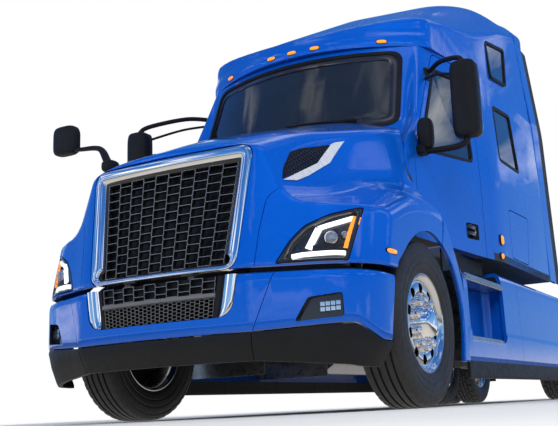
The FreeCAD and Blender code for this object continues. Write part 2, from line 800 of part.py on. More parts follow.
def make_drive_axle(y):
    """A drive axle housing with its carrier, trailing arms, air bags and wheel spindles."""
    z = axle_height
    inner_face = dual_track / 2 - dual_spacing / 2 - tyre_width / 2
    tube = bar(point(-inner_face, y, z), point(inner_face, y, z), housing_radius, tube_sides)
    end = dual_track / 2 + dual_spacing * 0.25
    spindle = rod_x(-end, end, y, z, spindle_radius)
    bowl = [(0, carrier_radius * 0.55), (0.25, carrier_radius), (0.75, carrier_radius),
            (1, carrier_radius * 0.55)]
    wide = carrier_radius * 0.75
    carrier = drum(point(-wide, y, z), point(wide, y, z), bowl, tube_sides)
    nose = drum(point(0, y - carrier_radius * 0.4, z), point(0, y - carrier_nose, z),
                [(0, carrier_radius * 0.6), (1, carrier_radius * 0.35)], tube_sides)
    pieces = [tube, spindle, carrier, nose]
    for side in (1, -1):
        x = side * (rail_outside - spring_width / 2)
        a, b = x - spring_width / 2, x + spring_width / 2
        under = rail_top - rail_height
        arm = prism_x([
            (y - 0.85 * tyre_radius, z + housing_radius * 0.6),
            (y, z - housing_radius * 1.2), (y + 0.75 * tyre_radius, z - housing_radius * 1.2),
            (y + 0.75 * tyre_radius, z - housing_radius * 0.6), (y, z - housing_radius * 0.2),
            (y - 0.85 * tyre_radius, z + housing_radius * 1.4)], a, b)
        hanger = box(a, b, y - 0.95 * tyre_radius, y - 0.80 * tyre_radius,
                     z + housing_radius * 0.4, under)
        bag = bar_z(x, y + 0.55 * tyre_radius, z - housing_radius * 0.6, under,
                    min(bag_radius, spring_width), tube_sides)
        pieces += [arm, hanger, bag]
    return fuse(*pieces)


def make_axles():
    keep("axles", make_front_axle(), make_drive_axle(wheelbase), make_drive_axle(second_axle))


def make_knuckle():
    """Fork, kingpin and wheel spindle of the left steered wheel."""
    x = kingpin_track / 2
    z = axle_height
    low, high = z - beam_half_height - seat_gap, z + beam_half_height * 0.4 + seat_gap
    arm = eye_radius
    lower = bar_z(x, 0, low - arm * 0.9, low, arm, tube_sides)
    upper = bar_z(x, 0, high, high + arm * 0.9, arm, tube_sides)
    wall_x = x + eye_radius + panel_gap
    back = box(wall_x, wall_x + arm * 0.6, -arm, arm, low - arm * 0.9, high + arm * 0.9)
    lower_arm = box(x, wall_x, -arm, arm, low - arm * 0.9, low)
    upper_arm = box(x, wall_x, -arm, arm, high, high + arm * 0.9)
    pin = rod_z(x, 0, low - arm * 0.9, high + arm * 0.9, kingpin_radius)
    spindle = rod_x(wall_x, steer_track / 2 + tyre_width * 0.30, 0, z, spindle_radius)
    keep_pair("knuckle", fuse(lower, upper, back, lower_arm, upper_arm, pin, spindle))


# Wheels: rings of flat facets round the axle


def ring(profile, count, x, y, z, turn):
    """A solid of revolution made of flat facets from a closed (x, radius) profile."""
    rows = []
    for dx, radius in profile:
        row = []
        for i in range(count):
            angle = 2 * math.pi * (i + turn) / count
            row.append(point(x + dx, y + radius * math.cos(angle), z + radius * math.sin(angle)))
        rows.append(row)
    faces = []
    for i, row in enumerate(rows):
        after = rows[(i + 1) % len(rows)]
        for k in range(count):
            n = (k + 1) % count
            faces.append(outline_face([row[k], row[n], after[n], after[k]]))
    solid = Part.Solid(Part.Shell(faces))
    if solid.Volume < 0:
        solid.reverse()
    return solid


facet_count = 32
rim_facet_count = 20  # so that each hand hole lies in one flat


def tyre_profile():
    w = tyre_width
    bore = bead_radius / math.cos(math.pi / facet_count)
    return [
        (-0.40 * w, bore), (-0.50 * w, 0.80 * tyre_radius), (-0.43 * w, tyre_radius),
        (0.43 * w, tyre_radius), (0.50 * w, 0.80 * tyre_radius), (0.40 * w, bore),
    ]


def tyre_at(x, y):
    return ring(tyre_profile(), facet_count, x, y, axle_height, 0.5)


def rim(x, y, rim_x, hub_x, hole_count):
    """Rim barrel with a dished disc that runs from rim_x at the barrel to hub_x at the hub."""
    w = 0.40 * tyre_width
    r = bead_radius
    lip = w + flange_thick
    eye = spindle_radius * 2
    profile = [(-lip, r), (lip, r)]
    if hole_count:
        profile = [(-w - seat_gap, r), (w + seat_gap, r), (lip, r + flange_height)]
    profile += [
        (lip, r - rim_thick), (rim_x + plate, r - rim_thick), (hub_x + plate, eye),
        (hub_x - plate, eye), (rim_x - plate, r - rim_thick), (profile[0][0], r - rim_thick),
    ]
    whole = ring(profile, rim_facet_count, x, y, axle_height, 0.5)
    holes = []
    for i in range(hole_count):
        angle = 2 * math.pi * (i + 0.5) / hole_count
        at = 0.78 * r
        hole_y, hole_z = y + at * math.cos(angle), axle_height + at * math.sin(angle)
        outline = []
        for k in range(hole_sides):
            turn = angle + 2 * math.pi * (k + 0.5) / hole_sides
            reach = 0.105 * r
            outline.append((hole_y + reach * math.cos(turn), hole_z + reach * math.sin(turn)))
        holes.append(prism_x(outline, x - dual_spacing, x + dual_spacing))
    return whole.cut(holes) if holes else whole


def hub(x0, x1, y, radius, bore_to):
    """A hub with a blind bore that runs on its spindle."""
    centre = drum(point(x0, y, axle_height), point(x1, y, axle_height),
                  [(0, radius), (1, radius * 0.94)], rim_facet_count)
    return centre.cut(rod_x(x0 - overrun, bore_to, y, axle_height, spindle_radius + running_gap))


def make_steer_wheels():
    x = steer_track / 2
    keep_pair("steer_tyre", tyre_at(x, 0))
    dished = rim(x, 0, tyre_width * 0.28, tyre_width * 0.16, hand_hole_count)
    centre = hub(x + tyre_width * 0.10, x + tyre_width * 0.42, 0, bead_radius * 0.40,
                 x + tyre_width * 0.30 + running_gap)
    keep_pair("steer_wheel", fuse(dished, centre))


def make_drive_wheels():
    outer = dual_track / 2 + dual_spacing / 2
    inner = dual_track / 2 - dual_spacing / 2
    middle = dual_track / 2
    for label, y in (("first", wheelbase), ("second", second_axle)):
        keep_pair("drive_tyre_" + label, Part.makeCompound([tyre_at(inner, y), tyre_at(outer, y)]))
        rim_in = rim(inner, y, tyre_width * 0.30, middle - inner - plate, 0)
        rim_out = rim(outer, y, -tyre_width * 0.30, middle - outer + plate, hand_hole_count)
        centre = hub(middle - dual_spacing * 0.30, outer + tyre_width * 0.30, y,
                     bead_radius * 0.42, middle + dual_spacing * 0.25 + running_gap)
        keep_pair("drive_wheel_" + label, fuse(rim_in, rim_out, centre))


# Engine, gearbox, driveshafts and radiator

engine_half = 300.0
engine_reach = 440.0
gearbox_half = 190.0
shaft_radius = 45.0
radiator_half = 450.0
radiator_height = 1430.0
radiator_depth = 90.0


def make_powertrain():
    low = rail_top - rail_height * 0.95
    tall = 1.26 * cab_floor_height
    behind = cab_floor_height - plate * 3
    engine = prism_x([
        (-engine_reach, low), (engine_reach, low), (engine_reach, behind),
        (cab_front - plate * 2, behind), (cab_front - overrun, tall), (-engine_reach, tall)],
        -engine_half, engine_half)
    cross = cross_member_y(1) - rail_flange / 2
    gearbox = prism_y([
        (-gearbox_half, low - shaft_radius), (gearbox_half, low - shaft_radius),
        (gearbox_half, rail_top - plate), (-gearbox_half, rail_top - plate)],
        engine_reach, cross)
    shaft_z = low - shaft_radius * 0.6
    mounts = []
    for side in (1, -1):
        for y in (-engine_reach * 0.6, engine_reach * 0.7):
            a, b = sorted((side * engine_half, side * (rail_outside - rail_thick)))
            mounts.append(box(a, b, y - rail_flange / 2, y + rail_flange / 2,
                              rail_top - rail_height * 0.8, rail_top - rail_height * 0.4))
    shafts = [
        bar(point(0, cross, shaft_z), point(0, wheelbase - carrier_nose + plate, axle_height),
            shaft_radius),
        bar(point(0, wheelbase + carrier_flat, axle_height),
            point(0, second_axle - carrier_nose, axle_height), shaft_radius),
    ]
    shafts[0] = fuse(shafts[0], bar(point(0, cross, shaft_z),
                                    point(0, cross + shaft_radius, shaft_z), shaft_radius * 1.3))
    tip = wheelbase - carrier_nose
    shafts[0] = shafts[0].cut(box(-overrun, overrun, tip, tip + overrun, 0, rail_top))
    front = rail_front + plate
    core = box(-radiator_half, radiator_half, front, front + radiator_depth, rail_top,
               radiator_height)
    shroud = box(-engine_half, engine_half, front + radiator_depth, -engine_reach,
                 rail_top + rail_height * 0.2, tall - plate * 2)
    keep("powertrain", fuse(engine, gearbox, *mounts), *shafts, core, shroud)


def cross_member_y(index):
    span = frame_end - rail_front - rail_flange * 2
    return rail_front + rail_flange + cross_shares[index] * span


# Tanks, steps, side fairings

tank_radius = 300.0
tank_height = 640.0
tank_front = 2150.0
tank_rear = wheelbase - 1000.0
fairing_low = 285.0
fairing_high = 1000.0
fairing_front = 700.0
fairing_rear = wheelbase - 650.0
fairing_thick = 28.0
skirt_drop = 110.0
step_heights = (890.0, 445.0)
step_front = 780.0
step_rear = 1650.0
step_inner = 950.0
leg_inner_shares = [(0.59, 2.055), (0.95, 1.83), (1.21, 1.40), (1.25, 1.0), (1.17, 0.564)]
leg_outer_shares = [(1.39, 0.564), (1.39, 1.35), (1.20, 1.80), (0.92, 2.165), (0.72, 2.400)]


def make_side():
    """Left tank, steps and painted fairing with the fixed rear part of the wheel arch."""
    tank_x = half_width - fairing_thick - overrun - tank_radius
    tank = bar(point(tank_x, tank_front, tank_height), point(tank_x, tank_rear, tank_height),
               tank_radius, tank_sides)
    pieces = [tank]
    for share in (0.15, 0.85):
        y = tank_front + share * (tank_rear - tank_front)
        pieces.append(box(rail_outside, tank_x, y - overrun / 2, y + overrun / 2,
                          tank_height - tank_radius * 0.75, rail_top - rail_thick))
        pieces.append(box(tank_x, half_width - fairing_thick, y - plate, y + plate,
                          tank_height - overrun / 2, tank_height + overrun / 2))
    for y in (step_front - overrun, step_rear + overrun - plate):
        pieces.append(box(rail_outside, half_width - fairing_thick, y, y + plate,
                          fairing_low + plate, fairing_high - overrun))
    body = [fuse(*pieces)]
    for z in step_heights:
        body.append(box(step_inner, half_width - fairing_thick, step_front - overrun + plate,
                        step_rear + overrun - plate, z - plate * 2, z))
    return body


def make_fairing():
    skin = prism_x([
        (fairing_front, fairing_low), (fairing_rear, fairing_low),
        (fairing_rear, fairing_high), (fairing_front, fairing_high)],
        half_width - fairing_thick, half_width)
    top = box(step_inner + overrun, half_width, step_rear + overrun, fairing_rear,
              fairing_high - fairing_thick, fairing_high)
    opening = prism_x([
        (step_front, step_heights[1]), (step_rear, step_heights[1]),
        (step_rear, step_heights[0]), (step_front, step_heights[0])],
        half_width - fairing_thick - plate, half_width + plate)
    outline = []
    for y, z in leg_inner_shares + leg_outer_shares:
        outline.append((y * tyre_radius, max(z * tyre_radius, fairing_low)))
    leg = prism_x(outline, half_width - fairing_thick, half_width)
    return fuse(skin, top, leg).cut(opening)


def make_extender():
    """Left side extender behind the sleeper, and its black rubber edge."""
    low_x, high_x = half_width, cab_level_shares[-1][8] * half_width
    crease_x, crease_z = roof_shares[-1][2] * half_width, drip_height + 0.72 * roof_rise
    low = cab_floor_height + plate
    t = fairing_thick
    outer = [(low_x, low), (high_x, drip_height), (crease_x, crease_z)]
    panel = prism_y(outer + [(x - t, z) for x, z in reversed(outer)],
                    cab_back, cab_back + extender_length)
    edge = [(x - plate / 2, z) for x, z in outer]
    rubber = prism_y(edge + [(x - plate, z) for x, z in reversed(edge)],
                     cab_back + extender_length, cab_back + extender_length + trim_length)
    return panel, rubber


def make_roof_extender():
    """The painted cap that carries the roof's line back over the gap to a trailer."""
    last = roof_shares[-1]
    rings = []
    for inset in (0, fairing_thick):
        y, drip, crease_x, crease_z, crest_x, crest_z, middle = last
        half = [
            (crease_x * half_width - inset, drip_height + 0.72 * roof_rise),
            (crease_x * half_width - inset, drip_height + crease_z * roof_rise - inset / 2),
            (crest_x * half_width - inset / 2, drip_height + crest_z * roof_rise - inset),
            (0, drip_height + middle * roof_rise - inset),
        ]
        start = half_section(half, cab_back)
        lifted = [half[0]] + [(x, z + cap_rise) for x, z in half[1:]]
        end = half_section(lifted, cab_back + extender_length)
        rings.append(faceted([start, end]))
    return rings[0].cut(rings[1])


cap_rise = 70.0


def make_trims():
    """Black pieces outside the bumper: skirts, rubber edges and mud flaps."""
    skirt = box(half_width - fairing_thick + plate / 2, half_width - plate / 2, fairing_front,
                fairing_rear, fairing_low - skirt_drop, fairing_low)
    panel, rubber = make_extender()
    y = second_axle + tyre_radius + overrun * 2
    inner = dual_track / 2 - dual_spacing / 2 - tyre_width / 2
    outer = dual_track / 2 + dual_spacing / 2 + tyre_width / 2
    arm = box(rail_outside, outer, y - plate, y + plate, rail_top - rail_height * 0.7,
              rail_top - rail_height * 0.5)
    flap = box(inner, outer, y - plate / 2, y + plate / 2, fairing_low,
               rail_top - rail_height * 0.7)
    left = [skirt, rubber, fuse(arm, flap)]
    return left + [mirrored(shape) for shape in left]


def make_sides():
    body = make_side()
    deck = box(-rail_outside, rail_outside, cab_back + extender_length, fairing_rear,
               rail_top, rail_top + plate)
    keep("tanks_and_steps", *body, *[mirrored(shape) for shape in body], deck)
    panel, rubber = make_extender()
    keep("side_fairings", make_fairing(), mirrored(make_fairing()), panel, mirrored(panel),
         make_roof_extender())


# Mirrors

mirror_x = 1385.0
mirror_half_x = 95.0
mirror_y = 410.0
mirror_half_y = 70.0
mirror_low = 1750.0
mirror_high = 2290.0
mirror_arm = 22.0


def make_mirrors():
    """The door mirror: a tall housing on two arms, with its feet on the door's frame."""
    head = prism_y([
        (mirror_x - mirror_half_x, mirror_low + mirror_half_y * 0.4),
        (mirror_x - mirror_half_x * 0.8, mirror_low), (mirror_x + mirror_half_x * 0.8, mirror_low),
        (mirror_x + mirror_half_x, mirror_low + mirror_half_y * 0.4),
        (mirror_x + mirror_half_x, mirror_high - mirror_half_y * 0.4),
        (mirror_x + mirror_half_x * 0.8, mirror_high),
        (mirror_x - mirror_half_x * 0.8, mirror_high),
        (mirror_x - mirror_half_x, mirror_high - mirror_half_y * 0.4)],
        mirror_y - mirror_half_y, mirror_y + mirror_half_y)
    low_foot_y, low_foot_z = cab_y(0.092), cab_z(0.385)
    high_foot_y, high_foot_z = cab_y(0.2245), cab_z(0.835)
    skin_low = cab_side_x(low_foot_y, low_foot_z) - plate / 2
    skin_high = cab_side_x(high_foot_y, high_foot_z) - plate / 2
    low_arm = bar(point(skin_low, low_foot_y, low_foot_z),
                  point(mirror_x, mirror_y, mirror_low + mirror_arm * 1.2), mirror_arm)
    high_arm = bar(point(skin_high, high_foot_y, high_foot_z),
                   point(mirror_x, mirror_y, mirror_high - mirror_arm * 1.2), mirror_arm)
    bulb = box(half_width * 0.90, half_width * 0.97, low_foot_y - overrun, low_foot_y + plate,
               low_foot_z - mirror_arm, low_foot_z + overrun * 1.6)
    whole = fuse(head, low_arm, high_arm, bulb)
    keep_pair("mirror", whole.cut(cab_body(0, cab_floor_height)))

    foot = point(-0.540 * half_width, hood_y(0.258), hood_z(0.630))
    elbow = foot + point(-overrun, 0, overrun * 1.5)
    head_at = point(-0.925 * half_width, hood_y(0.300), hood_z(0.885))
    arm = bar(foot, elbow, mirror_arm * 0.8)
    joint = bar_z(elbow.x, elbow.y, elbow.z - mirror_arm, elbow.z + mirror_arm, mirror_arm)
    reach = bar(elbow, head_at, mirror_arm * 0.7)
    half = mirror_half_y * 0.75
    head = box(head_at.x - half, head_at.x + half, head_at.y - half, head_at.y + half,
               head_at.z - half * 1.3, head_at.z + half * 3)
    whole = fuse(arm, joint, reach, head)
    keep("hood_mirror", whole.cut(hood_body(0, hood_bottom)))


# Fifth wheel

fifth_wheel_y = wheelbase + 0.40 * tandem_spread
coupler_top = 1205.0
coupler_thick = 45.0
coupler_half_width = 450.0
coupler_half_length = 370.0
pivot_height = 1095.0
pivot_radius = 25.0
throat_radius = 25.7
foot_thick = 90.0


def make_fifth_wheel():
    base = box(-rail_outside - plate * 3, rail_outside + plate * 3,
               fifth_wheel_y - coupler_half_length * 0.9, fifth_wheel_y + coupler_half_length * 0.9,
               rail_top, rail_top + plate)
    pieces = [base]
    cheek_x = rail_outside - foot_thick
    for side in (1, -1):
        a, b = sorted((side * cheek_x, side * (cheek_x + foot_thick)))
        wide = coupler_half_length * 0.45
        cheek = prism_x([
            (fifth_wheel_y - wide, rail_top + plate), (fifth_wheel_y + wide, rail_top + plate),
            (fifth_wheel_y + pivot_radius * 1.8, pivot_height + pivot_radius * 0.9),
            (fifth_wheel_y - pivot_radius * 1.8, pivot_height + pivot_radius * 0.9)], a, b)
        hole = rod_x(a - plate, b + plate, fifth_wheel_y, pivot_height,
                     pivot_radius + running_gap)
        pieces.append(cheek.cut(hole))
    keep("fifth_wheel_base", fuse(*pieces))

    y = fifth_wheel_y
    w, half = coupler_half_width, coupler_half_length
    throat = throat_radius * 2.6
    shape = prism_z([
        (-w, y - half * 0.45), (-w * 0.55, y - half), (w * 0.55, y - half), (w, y - half * 0.45),
        (w, y + half * 0.55), (w * 0.50, y + half), (w * 0.24, y + half), (0, y + throat),
        (-w * 0.24, y + half), (-w * 0.50, y + half), (-w, y + half * 0.55)],
        coupler_top - coupler_thick, coupler_top)
    bore = rod_z(0, y, coupler_top - coupler_thick - plate, coupler_top + plate, throat_radius)
    lugs = []
    top = coupler_top - coupler_thick
    for side in (1, -1):
        inner, outer = cheek_x - panel_gap, cheek_x + foot_thick + panel_gap
        a, b = sorted((side * (inner - plate * 2), side * inner))
        c, d = sorted((side * outer, side * (outer + plate * 2)))
        for low, high in ((a, b), (c, d)):
            lugs.append(prism_x([
                (y - pivot_radius * 1.8, pivot_height - pivot_radius * 1.3),
                (y + pivot_radius * 1.8, pivot_height - pivot_radius * 1.3),
                (y + pivot_radius * 3, top), (y - pivot_radius * 3, top)], low, high))
        lugs.append(rod_x(a, d, y, pivot_height, pivot_radius) if side > 0
                    else rod_x(c, b, y, pivot_height, pivot_radius))
    keep("fifth_wheel_plate", fuse(shape, *lugs).cut(bore))


# Inside the cab, and lamps

seat_x = 500.0
seat_half = 250.0
seat_base_top = 1440.0
cushion_top = 1590.0
back_top = 2260.0
seat_front = 1280.0
seat_rear = 1760.0
bunk_front = 2280.0
bunk_top = 1660.0
mattress_thick = 130.0
wheel_rim_radius = 230.0


def make_interior():
    floor_top = cab_floor_height + floor_thick
    dash = prism_x([
        (cab_y(0.165), cab_z(0.30)), (cab_y(0.245), cab_z(0.30)), (cab_y(0.245), cab_z(0.46)),
        (cab_y(0.215), cab_z(0.54)), (cab_y(0.165), cab_z(0.50))],
        -0.66 * half_width, 0.66 * half_width)
    console = box(-0.14 * half_width, 0.14 * half_width, cab_y(0.170), cab_y(0.255),
                  floor_top, cab_z(0.40))
    hub_at = point(seat_x, cab_y(0.300), cab_z(0.545))
    way = point(0, 0.80, 0.60).normalize()
    rim_top = hub_at + way * overrun * 0.35
    rim_out = bar(hub_at, rim_top, wheel_rim_radius, tank_sides)
    rim_in = bar(hub_at - way, rim_top + way, wheel_rim_radius - plate * 2.4, tank_sides)
    column = bar(hub_at - way * overrun * 3.2, hub_at + way * overrun * 0.2, plate * 3)
    spokes = rim_out.common(box(seat_x - wheel_rim_radius, seat_x + wheel_rim_radius,
                             hub_at.y - overrun * 2, hub_at.y + overrun * 2,
                             hub_at.z - plate * 2, hub_at.z + plate * 2))
    cluster = fuse(dash, console, rim_out.cut(rim_in), column, spokes)
    pieces = [cluster]
    for side in (1, -1):
        x = side * seat_x
        pieces.append(box(x - seat_half * 0.7, x + seat_half * 0.7, seat_front + overrun,
                          seat_rear - overrun, floor_top, seat_base_top))
    width = 0.90 * half_width
    low = bunk_top - plate * 2
    pieces.append(box(-width, width, bunk_front, cab_back - cab_wall, low, bunk_top))
    for y in (bunk_front, cab_back - cab_wall - plate * 2):
        pieces.append(box(-width, width, y, y + plate * 2, floor_top, low))
    keep("cab_fittings", *pieces)

    soft = []
    for side in (1, -1):
        x = side * seat_x
        soft.append(box(x - seat_half, x + seat_half, seat_front, seat_rear,
                        seat_base_top, cushion_top))
        soft.append(prism_x([
            (seat_rear - overrun * 1.6, cushion_top), (seat_rear, cushion_top),
            (seat_rear + overrun, back_top), (seat_rear - overrun * 0.4, back_top)],
            x - seat_half * 0.92, x + seat_half * 0.92))
    soft.append(box(-width, width, bunk_front, cab_back - cab_wall - plate, bunk_top,
                    bunk_top + mattress_thick))
    keep("seats", *soft)


marker_x_shares = (0.0, 0.160, -0.160, 0.568, -0.568)
marker_height = 30.0
marker_proud = 12.0


def make_lamps():
    """Amber lamps on the brow and the cab's sides, and the tail lamps."""
    brow = roof_body(-marker_proud, drip_height).cut(roof_body(0, drip_height))
    pieces = []
    for share in marker_x_shares:
        x = share * half_width
        zone = box(x - overrun, x + overrun, cab_front, cab_y(0.25), drip_height + plate,
                   drip_height + plate + marker_height)
        pieces.append(brow.common(zone))
    side = cab_body(-marker_proud * 0.6, cab_floor_height).cut(cab_body(0, cab_floor_height))
    for z_share, y_share in ((0.115, 0.528), (0.030, 0.522)):
        y, z = cab_y(y_share), cab_z(z_share)
        zone = box(0, half_width + overrun, y - marker_height, y + marker_height,
                   z - marker_height, z + marker_height)
        lamp = side.common(zone)
        pieces += [lamp, mirrored(lamp)]
    y = second_axle + tyre_radius + overrun * 2 + plate
    low = rail_top - rail_height * 0.7
    for x_share in (0.50, 0.68):
        x = x_share * half_width
        lamp = box(x - overrun * 0.6, x + overrun * 0.6, y, y + plate * 3, low,
                   rail_top - rail_height * 0.5)
        pieces += [lamp, mirrored(lamp)]
    keep("lamps", *pieces)


make_cab()
make_hood()
make_bumper()
make_frame()
make_axles()
make_knuckle()
make_steer_wheels()
make_drive_wheels()
make_powertrain()
make_sides()
make_mirrors()
make_fifth_wheel()
make_interior()
make_lamps()

front_axle_y = front_overhang - overall_length / 2
os.makedirs("parts", exist_ok=True)
for name, shape in made.items():
    shape.translate(point(0, front_axle_y, 0))
    shape.exportStep("parts/" + name + ".step")
    print(name, len(shape.Solids), "solids", round(shape.Volume / 1e6, 2), "litres", shape.isValid())
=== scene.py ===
from math import atan2, ceil, copysign, cos, dist, exp, hypot, pi, radians, sin, sqrt

import bmesh
import bpy
from mathutils import Matrix, Vector


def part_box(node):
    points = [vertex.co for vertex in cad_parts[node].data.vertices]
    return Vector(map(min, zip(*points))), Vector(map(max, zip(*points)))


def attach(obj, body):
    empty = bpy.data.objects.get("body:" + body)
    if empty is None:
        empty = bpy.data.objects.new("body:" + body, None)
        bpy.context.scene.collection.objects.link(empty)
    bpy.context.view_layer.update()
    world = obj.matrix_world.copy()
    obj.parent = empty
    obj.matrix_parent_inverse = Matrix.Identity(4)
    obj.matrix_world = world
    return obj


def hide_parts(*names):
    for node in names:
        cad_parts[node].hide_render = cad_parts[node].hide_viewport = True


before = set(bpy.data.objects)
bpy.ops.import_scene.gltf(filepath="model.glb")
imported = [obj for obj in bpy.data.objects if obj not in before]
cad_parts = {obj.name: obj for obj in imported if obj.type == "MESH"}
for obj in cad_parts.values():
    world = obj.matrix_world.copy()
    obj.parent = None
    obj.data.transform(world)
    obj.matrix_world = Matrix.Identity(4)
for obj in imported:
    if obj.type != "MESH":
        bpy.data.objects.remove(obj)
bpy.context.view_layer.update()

# Metres, +Z up. Shapes are drawn with y measured back from the front axle and moved into the
# frame's place when a mesh is made. The truck faces -Y and its left side is +X.


def middle_y(node):
    low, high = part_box(node)
    return (low.y + high.y) / 2


# Driving sizes, read from the frame where a node gives them
axle_y = middle_y("steer_tyre_left")
axle_z = 0.505
wheelbase = middle_y("drive_wheel_first_left") - axle_y
second_axle = middle_y("drive_wheel_second_left") - axle_y
half_width = 1.190
front_overhang = 1.150
tyre_radius = 0.505
tyre_width = 0.280
steer_x = 1.035
dual_x = 0.915
dual_spacing = 0.343
cab_floor_height = 1.100
drip_height = 2.670
roof_top = 3.950
cab_front = 0.160
cab_back = 3.300
cab_wall = 0.070
panel_gap = 0.008
hood_bottom = 0.780
hood_back = 0.330
hood_wall = 0.022
hood_setback = 0.020
bumper_top = 0.752
bumper_wall = 0.030
overrun = 0.080
cab_length = cab_back - cab_front
cab_height = drip_height - cab_floor_height
roof_rise = roof_top - drip_height
hood_top = 2.040
hood_length = front_overhang + hood_back
hood_rise = hood_top - hood_bottom
far = half_width + overrun
flap_y = second_axle + tyre_radius + 0.160
sides = (("left", 1), ("right", -1))
weld_distance = 0.0001


# Meshes

def new_object(name, data):
    thing = bpy.data.objects.new(name, data)
    bpy.context.scene.collection.objects.link(thing)
    return thing


def shape(name, points, faces):
    """An object from points given with y from the front axle."""
    mesh = bpy.data.meshes.new(name)
    mesh.from_pydata([(p[0], p[1] + axle_y, p[2]) for p in points], [], faces)
    mesh.update()
    return new_object(name, mesh)


def tidy(thing, angle=None):
    """Turns normals outward. With an angle it also welds doubles and shades smooth up to it."""
    soft = bmesh.new()
    soft.from_mesh(thing.data)
    if angle is not None:
        bmesh.ops.remove_doubles(soft, verts=soft.verts, dist=weld_distance)
    bmesh.ops.recalc_face_normals(soft, faces=soft.faces)
    if angle is not None:
        for face in soft.faces:
            face.smooth = True
        for edge in soft.edges:
            edge.smooth = (len(edge.link_faces) == 2
                           and edge.calc_face_angle(0.0) < radians(angle))
    soft.to_mesh(thing.data)
    soft.free()
    return thing


def baked(thing):
    """Applies an object's modifiers to its mesh."""
    graph = bpy.context.evaluated_depsgraph_get()
    graph.update()
    mesh = bpy.data.meshes.new_from_object(thing.evaluated_get(graph))
    thing.modifiers.clear()
    thing.data = mesh
    return thing


def drop(*things):
    for thing in things:
        bpy.data.objects.remove(thing)


def boolean(thing, tool, operation="DIFFERENCE", keep_tool=False):
    change = thing.modifiers.new("cut", "BOOLEAN")
    change.object = tool
    change.operation = operation
    change.solver = "MANIFOLD"
    baked(thing)
    if not keep_tool:
        drop(tool)
    return thing


def carve(thing, *tools):
    for tool in tools:
        boolean(thing, tool)
    return thing


def carve_both(thing, *tools):
    """Cuts left tools and their mirror images."""
    for tool in tools:
        other = mirrored(tool)
        carve(thing, tool, other)
    return thing


def dress(thing, material):
    thing.data.materials.clear()
    thing.data.materials.append(material)
    return thing


def duplicate(thing, name):
    return new_object(name, thing.data.copy())


def flipped(thing):
    """Mirrors an object's mesh left to right."""
    thing.data.transform(Matrix.Scale(-1, 4, Vector((1, 0, 0))))
    thing.data.flip_normals()
    return thing


def mirrored(thing, name="mirrored"):
    return flipped(duplicate(thing, name))


def joined(name, *things):
    """One object from several, with their materials kept."""
    whole = bmesh.new()
    materials = []
    for thing in things:
        start = len(whole.faces)
        whole.from_mesh(thing.data)
        whole.faces.ensure_lookup_table()
        for face in whole.faces[start:] if len(thing.data.materials) else ():
            material = thing.data.materials[face.material_index]
            if material not in materials:
                materials.append(material)
            face.material_index = materials.index(material)
    mesh = bpy.data.meshes.new(name)
    whole.to_mesh(mesh)
    whole.free()
    for material in materials:
        mesh.materials.append(material)
    drop(*things)
    return new_object(name, mesh)


def with_mirror(name, thing, *others):
    """A left piece joined with its mirror image and with other pieces."""
    return joined(name, thing, mirrored(thing), *others)


def skin(name, rings, closed=True, caps=True):
    """A skin over rows of points of equal length."""
    count = len(rings[0])
    faces = []
    for a in range(0, (len(rings) - 1) * count, count):
        for i in range(count if closed else count - 1):
            k = (i + 1) % count
            faces.append((a + i, a + k, a + count + k, a + count + i))
    if caps:
        start = (len(rings) - 1) * count
        faces += [tuple(reversed(range(count))), tuple(range(start, start + count))]
    return tidy(shape(name, [p for ring in rings for p in ring], faces))


def prism(name, outline, along, start, end):
    """An outline in the two other axes run along one axis ("x", "y" or "z")."""
    at = "xyz".index(along)
    return skin(name, [[(*pair[:at], w, *pair[at:]) for pair in outline] for w in (start, end)])


def block(name, x0, x1, y0, y1, z0, z1):
    return prism(name, [(x0, y0), (x1, y0), (x1, y1), (x0, y1)], "z", z0, z1)


def lathe(name, profile, count, x, y, z, radius_at=None):
    """A turned shape round an axis along X from (distance outward, radius) pairs."""
    points, faces, size = [], [], len(profile)
    for k in range(count):
        turn, a, b = 2 * pi * k / count, k * size, (k + 1) % count * size
        for i, (dx, r) in enumerate(profile):
            j = (i + 1) % size
            faces.append((a + i, a + j, b + j, b + i))
            if radius_at:
                r = radius_at(dx, r, k)
            points.append((x + dx, y + r * cos(turn), z + r * sin(turn)))
    return tidy(shape(name, points, faces), 35)


def ways_along(line):
    """Each point of an open line with the direction of the line there."""
    for i, p in enumerate(line):
        before, after = line[max(i - 1, 0)], line[min(i + 1, len(line) - 1)]
        yield p, (after - before).normalized()


def tube(name, path, radius, sides, squash=1.0):
    """A round bar along a path of points, with flat ends."""
    rings = []
    for i, (p, way) in enumerate(ways_along([Vector(p) for p in path])):
        side = way.cross(Vector((0, 0, 1)))
        if side.length < 0.01:
            side = Vector((1, 0, 0))
        side.normalize()
        up = side.cross(way).normalized()
        r = radius[i] if isinstance(radius, list) else radius
        turns = [2 * pi * k / sides for k in range(sides)]
        rings.append([p + side * (r * cos(a)) + up * (r * squash * sin(a)) for a in turns])
    return tidy(skin(name, rings), 35)


def smooth_path(points, steps):
    """Points along a smooth line through the given ones."""
    line = [Vector(p) for p in points]
    out = []
    for i in range(len(line) - 1):
        p0, p1, p2 = line[max(i - 1, 0)], line[i], line[i + 1]
        p3 = line[min(i + 2, len(line) - 1)]
        for t in spread(0.0, 1.0, steps)[:-1]:
            a = p1 * 2 + (p2 - p0) * t
            b = (p0 * 2 - p1 * 5 + p2 * 4 - p3) * (t * t)
            c = (p1 * 3 - p0 - p2 * 3 + p3) * (t * t * t)
            out.append((a + b + c) / 2)
    return out + [line[-1]]


def spread(first, last, steps):
    """Evenly spaced values from the first to the last one."""
    return [first + (last - first) * k / steps for k in range(steps + 1)]


